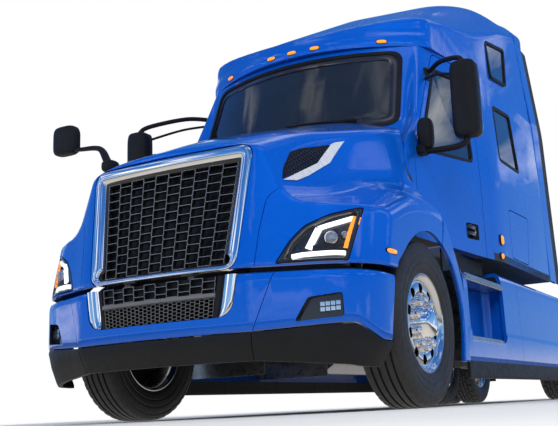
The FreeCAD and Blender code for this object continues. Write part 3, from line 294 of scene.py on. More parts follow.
def rounded(points, radius, steps=6, closed=False):
    """The same outline with its corners rounded. Radius may be a list, one for each point."""
    line = [Vector(p) for p in points]
    out = []
    for i, p in enumerate(line):
        if not closed and i in (0, len(line) - 1):
            out.append(p)
            continue
        r = radius[i] if isinstance(radius, list) else radius
        before, after = line[i - 1] - p, line[(i + 1) % len(line)] - p
        a = p + before.normalized() * min(r, before.length * 0.45)
        b = p + after.normalized() * min(r, after.length * 0.45)
        for t in spread(0.0, 1.0, steps):
            out.append(a * (1 - t) ** 2 + p * (2 * t * (1 - t)) + b * t ** 2)
    return out


def rounded_pairs(pairs, radius, steps=6, closed=True):
    return [(p[0], p[2]) for p in rounded([(a, 0, b) for a, b in pairs], radius, steps, closed)]


def divided(line, longest):
    """Extra points so that no stretch is longer than given."""
    out = [line[0]]
    for a, b in zip(line, line[1:]):
        n = max(1, ceil((b - a).length / longest))
        out += [a + (b - a) * (k / n) for k in range(1, n + 1)]
    return out


def dense(outline, longest):
    """The same for a closed outline of pairs."""
    points = [Vector((a, 0, b)) for a, b in outline + outline[:1]]
    return [(p[0], p[2]) for p in divided(points, longest)][:-1]


def mix_pairs(a, b, share):
    return [p + (q - p) * share for p, q in zip(a, b)]


def along_edges(outline, steps_of):
    """Points along a closed outline, with a number of steps for each edge."""
    edges = zip(outline, outline[1:] + outline[:1])
    return [mix_pairs(a, b, s / steps) for (a, b), steps in zip(edges, steps_of)
            for s in range(steps)]


def grown(points, by):
    """An outline of (a, b) points moved outward by a distance on every side."""
    count = len(points)
    ma, mb = sum(p[0] for p in points) / count, sum(p[1] for p in points) / count
    lines = []
    for (a0, b0), (a1, b1) in zip(points, points[1:] + points[:1]):
        length = hypot(a1 - a0, b1 - b0)
        na, nb = (b1 - b0) / length, -(a1 - a0) / length
        if (a0 - ma) * na + (b0 - mb) * nb < 0:
            na, nb = -na, -nb
        lines.append((na, nb, a0 * na + b0 * nb + by))
    out = []
    for i in range(count):
        (a, b, e), (c, d, f) = lines[i - 1], lines[i]
        det = a * d - b * c
        out.append(((e * d - b * f) / det, (a * f - e * c) / det))
    return out


def eased(rows, t, reach):
    """Values between rows whose first entry is the place, with the kinks eased over a reach."""
    first, last = rows[0][0], rows[-1][0]
    t = min(max(t, first), last)
    reach = min(reach, t - first, last - t)
    samples = 7
    total = [0.0] * len(rows[0])
    for k in range(samples):
        place = t + reach * (2 * (k + 0.5) / samples - 1)
        i = 0
        while i < len(rows) - 2 and place > rows[i + 1][0]:
            i += 1
        u = (place - rows[i][0]) / (rows[i + 1][0] - rows[i][0])
        total = [v + w / samples for v, w in zip(total, mix_pairs(rows[i], rows[i + 1], u))]
    total[0] = t
    return total


def softened(thing, voxel, rounds):
    """Remeshes a solid evenly and rounds its edges."""
    even = thing.modifiers.new("even", "REMESH")
    even.mode = "VOXEL"
    even.voxel_size = voxel
    ease = thing.modifiers.new("ease", "SMOOTH")
    ease.factor = 0.5
    ease.iterations = rounds
    return baked(thing)


def plate(name, line, centre, place, depth, thick, rounds, angle=40):
    """A plate on a curved surface, in rings from an outline of pairs in to its centre."""
    ca, cb = centre or [sum(p[w] for p in line) / len(line) for w in (0, 1)]
    count = len(line)
    points, faces = [], []
    for layer in (depth, depth + thick):
        for r in range(rounds):
            share = 1 - r / rounds
            points += [place(ca + (a - ca) * share, cb + (b - cb) * share, layer)
                       for a, b in line]
        points.append(place(ca, cb, layer))
    size = count * rounds + 1
    for start in (0, size):
        for a in range(start, start + (rounds - 1) * count, count):
            faces += [(a + i, a + (i + 1) % count, a + count + (i + 1) % count, a + count + i)
                      for i in range(count)]
        a = start + (rounds - 1) * count
        faces += [(a + i, a + (i + 1) % count, start + size - 1) for i in range(count)]
    faces += [(i, (i + 1) % count, size + (i + 1) % count, size + i) for i in range(count)]
    return tidy(shape(name, points, faces), angle)


def frame_between(name, outer, inner, rows, put, angle=40):
    """A closed frame between two outlines. Rows are (share of the way inward, depth)."""
    rings = [[put(o, i, share, depth) for share, depth in rows] for o, i in zip(outer, inner)]
    return tidy(skin(name, rings + [rings[0]], caps=False), angle)


def finish_piece(thing, body, slot, replaces=(), angle=35):
    tidy(thing, angle)
    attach(thing, body)
    if replaces:
        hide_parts(*replaces)
    return thing


# Materials

def feed(tree, node, inputs):
    """Sets a node's inputs: another node's output is linked, anything else is a constant."""
    for key, value in inputs.items():
        socket = node.inputs[key]
        if isinstance(value, bpy.types.NodeSocket):
            tree.links.new(value, socket)
        elif socket.type == "RGBA":
            socket.default_value = (*value[:3], 1.0)
        else:
            socket.default_value = value
    return node


def added(tree, kind, inputs, **settings):
    node = tree.nodes.new("ShaderNode" + kind)
    for key, value in settings.items():
        setattr(node, key, value)
    return feed(tree, node, inputs)


def nodes_of(name):
    made = bpy.data.materials.new(name)
    made.use_nodes = True
    return made, made.node_tree, made.node_tree.nodes["Principled BSDF"]


def own_space(tree):
    return added(tree, "TexCoord", {}).outputs["Object"]


def noise(tree, scale, detail=3.0, stretch=None):
    """A noise texture in the object's own space, in features per metre."""
    place = own_space(tree)
    texture = added(tree, "TexNoise", {"Scale": scale, "Detail": detail})
    if stretch:
        place = added(tree, "Mapping", {"Scale": stretch, "Vector": place}).outputs["Vector"]
    return feed(tree, texture, {"Vector": place}).outputs["Fac"]


def ranged(tree, value, low, high, low_in=0.3, high_in=0.7):
    return added(tree, "MapRange", {"From Min": low_in, "From Max": high_in, "To Min": low,
                                    "To Max": high, "Value": value}).outputs["Result"]


def mixed(tree, factor, a, b):
    return added(tree, "Mix", {"Factor": factor, 6: a, 7: b}, data_type="RGBA").outputs[2]


def times(tree, a, b):
    return added(tree, "Math", {0: a, 1: b}, operation="MULTIPLY").outputs["Value"]


def bumped(tree, shader, height, strength, distance):
    bump = added(tree, "Bump", {"Strength": strength, "Distance": distance, "Height": height})
    feed(tree, shader, {"Normal": bump.outputs["Normal"]})


def scaled(colour, by):
    return tuple(min(1.0, c * by) for c in colour)


def surface(name, colour, rough, metal, vary, patch=4.0, grain=0.0, grain_scale=900.0,
            rough_spread=0.06, coat=0.0, stretch=None, dust=0.0, shine=0.5):
    """Colour that varies in patches, an uneven sheen, a fine grain and dust low down."""
    made, tree, shader = nodes_of(name)
    shade = mixed(tree, ranged(tree, noise(tree, patch), 0, 1), scaled(colour, 1 - vary),
                  scaled(colour, 1 + vary))
    if dust:
        height = added(tree, "SeparateXYZ", {"Vector": own_space(tree)}).outputs["Z"]
        low = ranged(tree, height, dust, 0.0, 0.15, 1.1)
        spots = ranged(tree, noise(tree, 14.0, 6.0), 0.2, 1.0)
        shade = mixed(tree, times(tree, low, spots), shade, (0.20, 0.18, 0.155))
    worn = ranged(tree, noise(tree, patch * 5, 4.0, stretch), max(rough - rough_spread, 0.02),
                  rough + rough_spread)
    feed(tree, shader, {"Metallic": metal, "Coat Weight": coat, "Specular IOR Level": shine,
                        "Coat Roughness": 0.03, "Base Color": shade, "Roughness": worn})
    if grain:
        bumped(tree, shader, noise(tree, grain_scale, 2.0, stretch), grain, 0.001)
    return made


def glass_material(name, colour, rough=0.01, alpha=0.55):
    """Tinted glass that shows what is behind it darkly and mirrors what is in front."""
    made, tree, shader = nodes_of(name)
    shade = mixed(tree, ranged(tree, noise(tree, 3.0, 4.0), 0, 1), colour, scaled(colour, 1.5))
    feed(tree, shader, {"Base Color": shade, "Specular IOR Level": 0.3, "Coat Weight": 1.0,
                        "Roughness": ranged(tree, noise(tree, 30.0), rough, rough * 2),
                        "Coat Roughness": 0.01, "Alpha": alpha})
    return made


def glow_material(name, colour, strength, lit):
    """A lamp's face: a ribbed coloured lens that is lit from behind."""
    made, tree, shader = nodes_of(name)
    ribs = added(tree, "TexWave", {"Scale": 60.0})
    feed(tree, ribs, {"Vector": own_space(tree)})
    shade, glow = [mixed(tree, ribs.outputs["Fac"], scaled(c, by), c)
                   for c, by in ((colour, 0.6), (lit, 0.5))]
    feed(tree, shader, {"Base Color": shade, "Emission Color": glow, "Roughness": 0.12,
                        "Emission Strength": strength, "Coat Weight": 0.8})
    return made


def fabric_material(name, colour, weave=420.0):
    """Woven cloth: crossing threads in the colour and in the bump."""
    made, tree, shader = nodes_of(name)
    place = own_space(tree)
    threads = [added(tree, "TexWave", {"Scale": weave / 6, "Distortion": 0.6, "Vector": place},
                     bands_direction=axis).outputs["Fac"] for axis in "XY"]
    cross = times(tree, *threads)
    shade = mixed(tree, cross, scaled(colour, 0.7), colour)
    shade = mixed(tree, ranged(tree, noise(tree, 6.0), 0.0, 0.35), shade, scaled(colour, 1.25))
    feed(tree, shader, {"Base Color": shade, "Roughness": 0.85, "Sheen Weight": 0.3})
    bumped(tree, shader, cross, 0.35, 0.0006)
    return made


# deep blue metallic lacquer: fine flakes under a clear coat with a slight waviness
paint, paint_tree, paint_shader = nodes_of("blue_lacquer")
flakes = ranged(paint_tree, noise(paint_tree, 2600.0, 2.0), 0, 1, 0.2, 0.8)
flakes = mixed(paint_tree, flakes, (0.0007, 0.094, 0.52), (0.0008, 0.104, 0.57))
broad = ranged(paint_tree, noise(paint_tree, 1.1), 0.0, 0.25)
feed(paint_tree, paint_shader, {
    "Base Color": mixed(paint_tree, broad, flakes, (0.0008, 0.072, 0.40)), "Metallic": 0.35,
    "Roughness": ranged(paint_tree, noise(paint_tree, 22.0, 4.0), 0.26, 0.34),
    "Specular IOR Level": 0.08, "Coat Weight": 1.0, "Coat Roughness": 0.02, "Coat IOR": 1.5})
bumped(paint_tree, paint_shader, noise(paint_tree, 70.0, 2.0), 0.02, 0.0006)

chrome = surface("bright_chrome", (0.96, 0.93, 0.89), 0.06, 1.0, 0.03, rough_spread=0.03)
polished = surface("polished_aluminium", (0.80, 0.79, 0.78), 0.15, 1.0, 0.05, 6.0, 0.04, 1400.0,
                   rough_spread=0.07, stretch=(1.0, 1.0, 6.0))
tread_plate = surface("step_aluminium", (0.62, 0.63, 0.64), 0.32, 1.0, 0.08, 8.0, 0.2, 260.0,
                      rough_spread=0.1)
black_plastic = surface("grained_black_plastic", (0.008, 0.008, 0.009), 0.48, 0.0, 0.2, 5.0, 0.25,
                        1500.0, shine=0.2)
gloss_black = surface("gloss_black_plastic", (0.012, 0.012, 0.014), 0.12, 0.0, 0.2, 5.0,
                      rough_spread=0.04, coat=0.5)
valance_grey = surface("moulded_dark_grey", (0.0060, 0.0065, 0.0075), 0.50, 0.0, 0.15, 5.0, 0.3,
                       1100.0, dust=0.01, shine=0.3)
rubber = surface("black_rubber", (0.022, 0.022, 0.023), 0.70, 0.0, 0.2, 7.0, 0.3, 700.0, dust=0.15)
tyre_rubber = surface("tyre_rubber", (0.016, 0.016, 0.017), 0.58, 0.0, 0.25, 9.0, 0.3, 500.0,
                      rough_spread=0.10, dust=0.03)
frame_steel = surface("frame_black_paint", (0.020, 0.020, 0.022), 0.45, 0.1, 0.3, 6.0, 0.3, 300.0,
                      dust=0.35)
cast_steel = surface("cast_steel", (0.09, 0.09, 0.095), 0.55, 0.7, 0.25, 9.0, 0.5, 240.0,
                     dust=0.35)
engine_grey = surface("engine_grey", (0.16, 0.17, 0.18), 0.5, 0.4, 0.25, 7.0, 0.4, 200.0, dust=0.3)
tank_aluminium = surface("brushed_tank_aluminium", (0.30, 0.305, 0.31), 0.30, 1.0, 0.08, 5.0, 0.12,
                         900.0, stretch=(1.0, 12.0, 1.0), dust=0.2)
trim_grey = surface("interior_grey", (0.11, 0.11, 0.115), 0.6, 0.0, 0.12, 5.0, 0.3, 1300.0)
# the grille cells' pale front edges: a grey edge tone with a painted highlight added
grille_edge_highlight = surface("grille_edge_highlight_grey", (0.20, 0.21, 0.22), 0.32, 0.6, 0.12, 9.0)
satin_silver = surface("satin_silver", (0.66, 0.67, 0.69), 0.28, 0.35, 0.05)
mirror_glass = surface("mirror_glass", (0.82, 0.84, 0.86), 0.03, 1.0, 0.02, rough_spread=0.01)
screen_glass = glass_material("screen_glass", (0.010, 0.013, 0.016), alpha=0.72)
side_glass = glass_material("side_glass", (0.008, 0.010, 0.013), alpha=0.90)
clear_glass = glass_material("clear_lens", (0.03, 0.033, 0.036), alpha=0.10)
projector_glass = glass_material("projector_lens", (0.16, 0.19, 0.23), 0.005, 0.50)
amber = glow_material("amber_lens", (0.90, 0.26, 0.01), 1.1, (1.0, 0.34, 0.02))
white_led = glow_material("white_strip", (0.9, 0.93, 1.0), 2.2, (0.88, 0.94, 1.0))
red_lens = glow_material("red_lens", (0.55, 0.01, 0.01), 0.15, (1.0, 0.03, 0.02))
seat_cloth = fabric_material("seat_cloth", (0.055, 0.057, 0.062))
bed_cloth = fabric_material("bed_cloth", (0.23, 0.23, 0.25), 300.0)


# Tyres and wheels

def tyre_mesh(name, x, lugs):
    """A tyre with a grooved tread; lugs says how many blocks go round, 0 for plain ribs."""
    r = tyre_radius * 0.9965
    half = [(0.112, 0.290), (0.121, 0.306), (0.1225, 0.312), (0.128, 0.318), (0.133, 0.338),
            (0.1365, 0.360), (0.1335, 0.364), (0.1370, 0.370), (0.1388, 0.385), (0.1392, 0.404),
            (0.1360, 0.409), (0.1386, 0.415), (0.1380, 0.430), (0.1352, 0.450), (0.1292, 0.466),
            (0.1322, 0.470), (0.1275, 0.482), (0.1225, 0.4905), (0.1165, 0.4975),
            (0.1085, r - 0.0022)]
    for groove in (0.071, 0.026):
        half += [(groove + 0.0075, r - 0.0006), (groove + 0.0055, r - 0.0145),
                 (groove - 0.0055, r - 0.0145), (groove - 0.0075, r - 0.0004)]
    count = 240 if lugs else 180

    def worn(dx, radius, k):
        if radius < 0.478:
            return radius
        if not lugs:
            return radius - (0.0045 if k % 4 == 0 and 0.104 < abs(dx) < 0.130 else 0)
        band = 0 if abs(dx) > 0.074 else (4 if abs(dx) > 0.03 else 2)
        gap = (k + band + (3 if dx < 0 else 0)) % (count // lugs) < 2
        return radius - (0.011 if gap and (radius > r - 0.010 or abs(dx) > 0.112) else 0)

    return lathe(name, half + [(-dx, rr) for dx, rr in reversed(half)], count, x, 0.0, axle_z,
                 radius_at=worn)


hole_circle = 0.218
nut_circle = 0.148
spokes = [2 * pi * (k + 0.5) / 10 for k in range(10)]


def wheel_disc(name, x, profile, hole_radius, count):
    cutters = []
    for angle in spokes:
        ring = [(hole_circle * cos(angle) + hole_radius * cos(pi * j / 10),
                 axle_z + hole_circle * sin(angle) + hole_radius * sin(pi * j / 10))
                for j in range(20)]
        cutters.append(prism("hole", ring, "x", x - 0.2, x + 0.2))
    disc = boolean(lathe(name, profile, count, x, 0.0, axle_z), joined("holes", *cutters))
    return dress(disc, polished)


def nuts(x):
    """Domed covers of the wheel nuts on one circle."""
    radius, length = 0.0262, 0.058
    profile = [(0.0, radius * 1.05), (0.008, radius * 1.05), (0.011, radius * 0.86),
               (length * 0.42, radius * 0.86), (length * 0.52, radius * 0.98),
               (length * 0.68, radius), (length * 0.84, radius * 0.86),
               (length * 0.95, radius * 0.55), (length, radius * 0.2), (length, 0.0005),
               (0.0, 0.0005)]
    return dress(joined("nuts", *[lathe("nut", profile, 16, x, nut_circle * cos(angle),
                                        axle_z + nut_circle * sin(angle)) for angle in spokes]),
                 chrome)


def hub_cap(x, reach):
    profile = [(0.0, 0.110), (0.012, 0.110), (0.016, 0.106), (0.034, 0.104), (0.040, 0.099),
               (0.044, 0.096), (0.066, 0.093), (0.078, 0.086), (0.086, 0.074), (0.0905, 0.056),
               (0.0935, 0.036), (0.095, 0.018), (0.095, 0.0005), (0.0, 0.0005)]
    return dress(lathe("hub_cap", [(dx * reach, rr) for dx, rr in profile], 72, x, 0.0, axle_z),
                 chrome)


# outside of a wheel whose disc is bulged toward the outer flange; distances from its middle
steer_profile = [
    (0.1215, 0.3035), (0.1225, 0.298), (0.1195, 0.290), (0.110, 0.2835), (0.101, 0.276),
    (0.094, 0.266), (0.0905, 0.256), (0.0915, 0.248), (0.0945, 0.240), (0.0975, 0.222),
    (0.0965, 0.200), (0.0925, 0.184), (0.0865, 0.176), (0.0855, 0.170), (0.0855, 0.110),
    (0.060, 0.110), (0.060, 0.168), (0.074, 0.205), (0.074, 0.240), (0.060, 0.262),
    (0.020, 0.258), (-0.040, 0.258), (-0.085, 0.270), (-0.112, 0.2835), (-0.1225, 0.298),
    (-0.1215, 0.3035), (-0.112, 0.291), (0.112, 0.291),
]
# the outer wheel of a pair: a deep dish with its disc at the pair's middle
dual_profile = [
    (0.1215, 0.3035), (0.1225, 0.298), (0.1195, 0.290), (0.110, 0.2835), (0.085, 0.270),
    (0.040, 0.259), (-0.030, 0.259), (-0.075, 0.262), (-0.098, 0.256), (-0.110, 0.244),
    (-0.118, 0.225), (-0.128, 0.200), (-0.140, 0.184), (-0.146, 0.176), (-0.146, 0.110),
    (-0.1685, 0.110), (-0.1685, 0.180), (-0.150, 0.222), (-0.135, 0.252), (-0.120, 0.268),
    (-0.1195, 0.290), (-0.1225, 0.298), (-0.1215, 0.3035), (-0.112, 0.291), (0.112, 0.291),
]
# a thin black disc just behind the steer wheel's hand holes: painted shade seen through the holes,
# standing in for the brake drum further in
hole_shade_profile = [(0.050, 0.2555), (0.050, 0.113), (0.042, 0.113), (0.042, 0.2555)]


def placed_wheels(tyre, wheel, y, names, nodes):
    """Copies of a left tyre and wheel on their bodies, on both sides of the truck."""
    for side, way in sides:
        for made, slot, name, node in zip((tyre, wheel), ("tyre_rubber", "bright_aluminium"),
                                          names, nodes):
            copy = duplicate(made, name % side)
            if way < 0:
                flipped(copy)
            copy.data.transform(Matrix.Translation((0, y, 0)))
            finish_piece(copy, names[2] % side, slot, [node % side], 30)


steer_tyre = dress(tyre_mesh("steer_tyre_shape", steer_x, 0), tyre_rubber)
# the steer wheel carries the black disc of painted shade behind its hand holes
steer_wheel = joined(
    "steer_wheel_shape", wheel_disc("steer_disc", steer_x, steer_profile, 0.0310, 120),
    nuts(steer_x + 0.0855), hub_cap(steer_x + 0.080, 1.0),
    dress(lathe("drum_and_hole_shade", hole_shade_profile, 60, steer_x, 0.0, axle_z), black_plastic))
placed_wheels(steer_tyre, steer_wheel, 0.0, ("tyre_front_%s", "wheel_front_%s",
                                             "front_wheel_%s"),
              ("steer_tyre_%s", "steer_wheel_%s"))

dual_in, dual_out = dual_x - dual_spacing / 2, dual_x + dual_spacing / 2
dual_tyres = dress(joined("dual_tyres_shape", tyre_mesh("dual_tyre_in", dual_in, 30),
                          tyre_mesh("dual_tyre_out", dual_out, 30)), tyre_rubber)
dual_wheels = joined(
    "dual_wheels_shape", wheel_disc("dual_disc_out", dual_out, dual_profile, 0.0275, 80),
    wheel_disc("dual_disc_in", dual_in, [(-dx, rr) for dx, rr in dual_profile], 0.0275, 80),
    nuts(dual_out - 0.146), hub_cap(dual_out - 0.150, 2.0))
for label, y in (("first", wheelbase), ("second", second_axle)):
    placed_wheels(dual_tyres, dual_wheels, y,
                  ["%s_%s_%%s" % (kind, label) for kind in ("tyres", "wheels")]
                  + [label + "_drive_wheel_%s"],
                  ["drive_%s_%s_%%s" % (kind, label) for kind in ("tyre", "wheel")])
drop(steer_tyre, steer_wheel, dual_tyres, dual_wheels)


# Hood: its half sections as shares of length, half width and rise, the same as in the solids

hood_shares = [
    # y, shoulder z, crest z, valley x, z, crease x, z, brow x, z, middle z
    (-0.05, 0.130, 0.170, 0.590, 0.250, 0.430, 0.480, 0.280, 0.510, 0.520),
    (0.135, 0.175, 0.225, 0.615, 0.300, 0.515, 0.565, 0.330, 0.618, 0.632),
    (0.372, 0.240, 0.295, 0.680, 0.350, 0.600, 0.680, 0.380, 0.733, 0.750),
    (0.642, 0.375, 0.430, 0.755, 0.465, 0.725, 0.752, 0.460, 0.832, 0.860),
    (0.878, 0.390, 0.450, 0.868, 0.505, 0.815, 0.825, 0.500, 0.925, 0.957),
    (1.05, 0.365, 0.430, 0.880, 0.530, 0.840, 0.860, 0.500, 0.968, 1.0),
]
crest_share = 0.924
nose_low_shares = [(0.470, 0.035), (0.613, 0.102), (0.800, 0.178), (0.933, 0.287), (0.990, 0.443)]
nose_high_shares = [(0.470, 0.135), (0.613, 0.217), (0.800, 0.318), (0.933, 0.457), (0.990, 0.628)]
nose_middle_shares = (0.0, 0.105)
nose_reach = 0.990 * half_width
arch_shares = [
    (-1.05, 0.40), (-0.985, 1.30), (-0.955, 1.61), (-0.79, 1.72), (-0.58, 1.90), (-0.22, 2.09),
    (0.16, 2.150), (0.45, 2.095), (0.95, 1.83), (1.21, 1.40), (1.25, 1.0), (1.17, 0.40),
]
hood_rear_shares = [(1.50, -0.2), (0.60, -0.2), (0.970, 0.205), (1.007, 0.370), (0.985, 0.420),
                    (0.955, 0.448), (0.930, 0.62), (0.918, 0.80), (0.985, 0.935), (1.10, 1.20),
                    (1.50, 1.20)]
grille_shares = [(0.425, 0.0), (0.480, 0.573)]
lamp_shares = [(0.5915, 0.010), (0.887, 0.012), (0.9265, 0.257), (0.810, 0.221), (0.707, 0.173),
               (0.649, 0.110)]
seam_points = [(0.602, 0.75), (0.620, 0.987), (0.647, 1.158), (0.664, 1.190), (0.715, 1.233)]
seam_half = 0.0024


def hood_y(share):
    return share * hood_length - front_overhang


def hood_z(share):
    return hood_bottom + share * hood_rise


def both_ways(half):
    """A half row of (x, ...) points with its mirror image in front of it."""
    return [(-p[0], *p[1:]) for p in reversed(half) if p[0] > 0] + half


def nose_plan(z):
    """Rows of (x, setback behind the foremost point) across the whole nose at one height."""
    share = (z - hood_bottom) / (0.65 * hood_rise)
    rows = [(x * half_width, (low + (high - low) * share) * front_overhang)
            for (x, low), (_, high) in zip(nose_low_shares, nose_high_shares)]
    low, high = nose_middle_shares
    middle = (low + (high - low) * share) * front_overhang
    edge_x, edge_s = rows[0]
    bow = [(edge_x * k / 6, middle + (edge_s - middle) * (k / 6) ** 2) for k in range(6)]
    return both_ways(bow + rows)


def nose_y(x, z, inset=0.0):
    return hood_setback - front_overhang + eased(nose_plan(z), x, 0.06)[1] + inset


def nose_solid(inset, floor):
    rings = []
    for z in spread(floor, hood_top + overrun, 10):
        ring = [(x, nose_y(x, z, inset), z) for x in spread(-nose_reach, nose_reach, 60)]
        side_y, far_y = ring[-1][1] + 0.10, hood_y(1.6)
        rings.append(ring + [(far, side_y, z), (far, far_y, z), (-far, far_y, z),
                             (-far, side_y, z)])
    return skin("nose", rings)


def hood_ring(y_share, inset, floor):
    (y, shoulder, crest, valley_x, valley, crease_x, crease, brow_x, brow,
     middle) = eased(hood_shares, y_share, 0.10)
    half = [
        (half_width - inset, floor),
        (half_width - inset, hood_z(shoulder) - inset / 2),
        (crest_share * half_width - inset / 2, hood_z(crest) - inset),
        (valley_x * half_width - inset, hood_z(valley) - inset),
        (crease_x * half_width - inset, hood_z(crease) - inset / 2),
        (brow_x * half_width - inset / 2, hood_z(brow) - inset),
        (0.0, hood_z(middle) - inset),
    ]
    line = rounded([(x, hood_y(y), z) for x, z in half], [0, 0.10, 0.12, 0.11, 0.055, 0.22, 0], 7)
    return line + [(-p[0], p[1], p[2]) for p in reversed(line[:-1])]


def hood_solid(inset, floor):
    """The hood's form, cut to the nose's plan."""
    form = skin("hood_form", [hood_ring(y, inset, floor) for y in spread(-0.05, 1.05, 44)])
    return boolean(form, nose_solid(inset, floor - overrun), "INTERSECT")


def grille_edge(z):
    (low_x, low_z), (high_x, high_z) = grille_shares
    share = (z - hood_z(low_z)) / (hood_z(high_z) - hood_z(low_z))
    return (low_x + (high_x - low_x) * share) * half_width


def trapeze(x0, x1, z0, z1, round_off):
    """A rounded outline that is symmetric about the middle."""
    return rounded_pairs([(-x0, z0), (x0, z0), (x1, z1), (-x1, z1)], round_off)


def grille_outline(grow):
    z0, z1 = hood_bottom - grow, hood_z(grille_shares[1][1]) + grow
    return trapeze(grille_edge(z0) + grow, grille_edge(z1) + grow, z0, z1, 0.09)


def lamp_outline(grow):
    return rounded_pairs(grown([(x * half_width, hood_z(z)) for x, z in lamp_shares], grow),
                         0.02, 4)


# Cab outline: plan shares at four heights

cab_level_shares = [
    # height, front middle, glass edge x, y, corner x, y, door rear x, flare x, back x
    (0.0, 0.022, 0.740, 0.030, 0.849, 0.010, 0.950, 0.990, 1.0),
    (0.414, 0.012, 0.750, 0.060, 0.845, 0.005, 0.945, 0.986, 0.996),
    (0.573, 0.044, 0.746, 0.131, 0.832, 0.108, 0.937, 0.975, 0.988),
    (1.0, 0.132, 0.720, 0.209, 0.782, 0.223, 0.906, 0.941, 0.966),
]
door_rear_share = 0.417
flare_share = 0.510


def cab_y(share):
    return cab_front + share * cab_length


def cab_z(share):
    return cab_floor_height + share * cab_height


def cab_level(height):
    """The plan's shares at a height, which is a share too."""
    return eased(cab_level_shares, min(max(height, 0.0), 1.0), 0.05)[1:]


def cab_ring(height, inset):
    front, glass_x, glass_y, corner_x, corner_y, door_x, flare_x, back_x = cab_level(height)
    z = cab_z(height)
    gx, gy = glass_x * half_width - inset / 2, cab_y(glass_y) + inset
    side = [
        (gx, gy, z),
        (corner_x * half_width - inset, cab_y(corner_y) + inset, z),
        (door_x * half_width - inset, cab_y(door_rear_share), z),
        (flare_x * half_width - inset, cab_y(flare_share), z),
        (back_x * half_width - inset, cab_back - inset, z),
        (0.0, cab_back - inset, z),
    ]
    fy = cab_y(front) + inset
    bow = [(gx * k / 12, fy + (gy - fy) * (k / 12) ** 2, z) for k in range(12)]
    line = bow[:-1] + rounded([bow[-1]] + side, [0, 0.04, 0.09, 0.30, 0.15, 0.05, 0])
    left = [Vector(p) for p in line]
    return left + [Vector((-p[0], p[1], p[2])) for p in reversed(left[1:-1])]


def cab_solid(inset, floor, ceiling=drip_height):
    return skin("cab_form", [cab_ring((z - cab_floor_height) / cab_height, inset)
                             for z in spread(floor, ceiling, 36)])


def cab_side_x(y, z):
    """Half width of the cab's outer skin beside the doors and the sleeper."""
    corner_x, corner_y, door_x, flare_x, back_x = cab_level((z - cab_floor_height) / cab_height)[3:]
    line = [(cab_y(corner_y), corner_x), (cab_y(door_rear_share), door_x),
            (cab_y(flare_share), flare_x), (cab_y(1.0), back_x)]
    return eased([(a, b * half_width) for a, b in line], y, 0.10)[1]


# The hood's shell

hood = softened(hood_solid(0.0, hood_bottom), 0.014, 6)
carve(hood, block("foot", -far, far, -front_overhang - 0.2, hood_y(1.3), hood_bottom - 0.2,
                  hood_bottom + 0.002),
      hood_solid(hood_wall, hood_bottom - overrun),
      prism("rear", [(hood_y(y), hood_z(z)) for y, z in hood_rear_shares], "x", -far, far))
arch = rounded_pairs([(y * tyre_radius, z * tyre_radius) for y, z in arch_shares], 0.09, 5)
seam_rings = []
for p in divided([Vector((x, 0, z)) for x, z in seam_points], 0.03):
    front, back = nose_y(p[0], p[2]) - 0.030, nose_y(p[0], p[2]) + 0.008
    seam_rings.append([(p[0] + dx, y, p[2]) for dx, y in (
        (-seam_half, front), (seam_half, front), (seam_half, back), (-seam_half, back))])
carve_both(hood, prism("arch", arch, "x", half_width - overrun, far))
carve(hood, prism("grille_hole", grille_outline(0.004), "y", -front_overhang - overrun,
                  -tyre_radius))
carve_both(hood, prism("lamp_hole", lamp_outline(0.002), "y", -front_overhang,
                       -tyre_radius + overrun))
carve(hood, cab_solid(-0.014, cab_floor_height - overrun))
carve_both(hood, skin("hood_seam", seam_rings))
hood.name = "hood_shell"
# the hood's edge next to the cab, a strip about 8 mm wide, in black rubber: a dark line along the
# gap to the cab
hood_gap_line = dress(duplicate(hood, "hood_gap_line"), rubber)
gap_line_form = cab_solid(-0.022, cab_floor_height - overrun)
boolean(hood_gap_line, gap_line_form, "INTERSECT", keep_tool=True)
carve(hood, gap_line_form)
finish_piece(hood_gap_line, "hood", "black_plastic", angle=32)
finish_piece(dress(hood, paint), "hood", "blue_paint", ["hood"], 32)


# Plain bodies for small parts

box_faces = ((0, 1, 3, 2), (4, 6, 7, 5), (0, 4, 5, 1), (2, 3, 7, 6), (0, 2, 6, 4), (1, 5, 7, 3))


def slab_row(name, boxes, material):
    """Many small boxes as one mesh. Each is (centre, half sizes, turn about Z, lean about Y)."""
    points, faces = [], []
    for centre, half, turn, lean in boxes:
        spin = Matrix.Rotation(turn, 3, "Z") @ Matrix.Rotation(lean, 3, "Y")
        faces += [tuple(len(points) + i for i in face) for face in box_faces]
        points += [Vector(centre) + spin @ Vector((sx * half[0], sy * half[1], sz * half[2]))
                   for sx in (-1, 1) for sy in (-1, 1) for sz in (-1, 1)]
    return dress(shape(name, points, faces), material)


def swept(name, path, section, material):
    """A section swept round the grille's outline. Section rows are (inward, depth)."""
    rings = []
    for i, (x, z) in enumerate(path):
        before, after = path[i - 1], path[(i + 1) % len(path)]
        tx, tz = after[0] - before[0], after[1] - before[1]
        size = hypot(tx, tz)
        share = band_share(z)
        ring = []
        for inward, depth in section:
            px, pz = x - tz / size * inward * share, z + tx / size * inward * share
            ring.append((px, nose_y(px, pz) + depth, pz))
        rings.append(ring)
    return dress(tidy(skin(name, rings + [rings[0]], caps=False), 40), material)


# Grille: chrome surround, black inner frame and a mesh of staggered cells

surround_width = 0.080
sill_width = 0.036
hinge_y = 0.045 - front_overhang


def band_share(z):
    """The surround is narrower along its foot than at its sides and top."""
    rise = min(1.0, max(0.0, (z - hood_bottom - 0.004) / 0.085))
    low = sill_width / surround_width
    return low + (1 - low) * rise


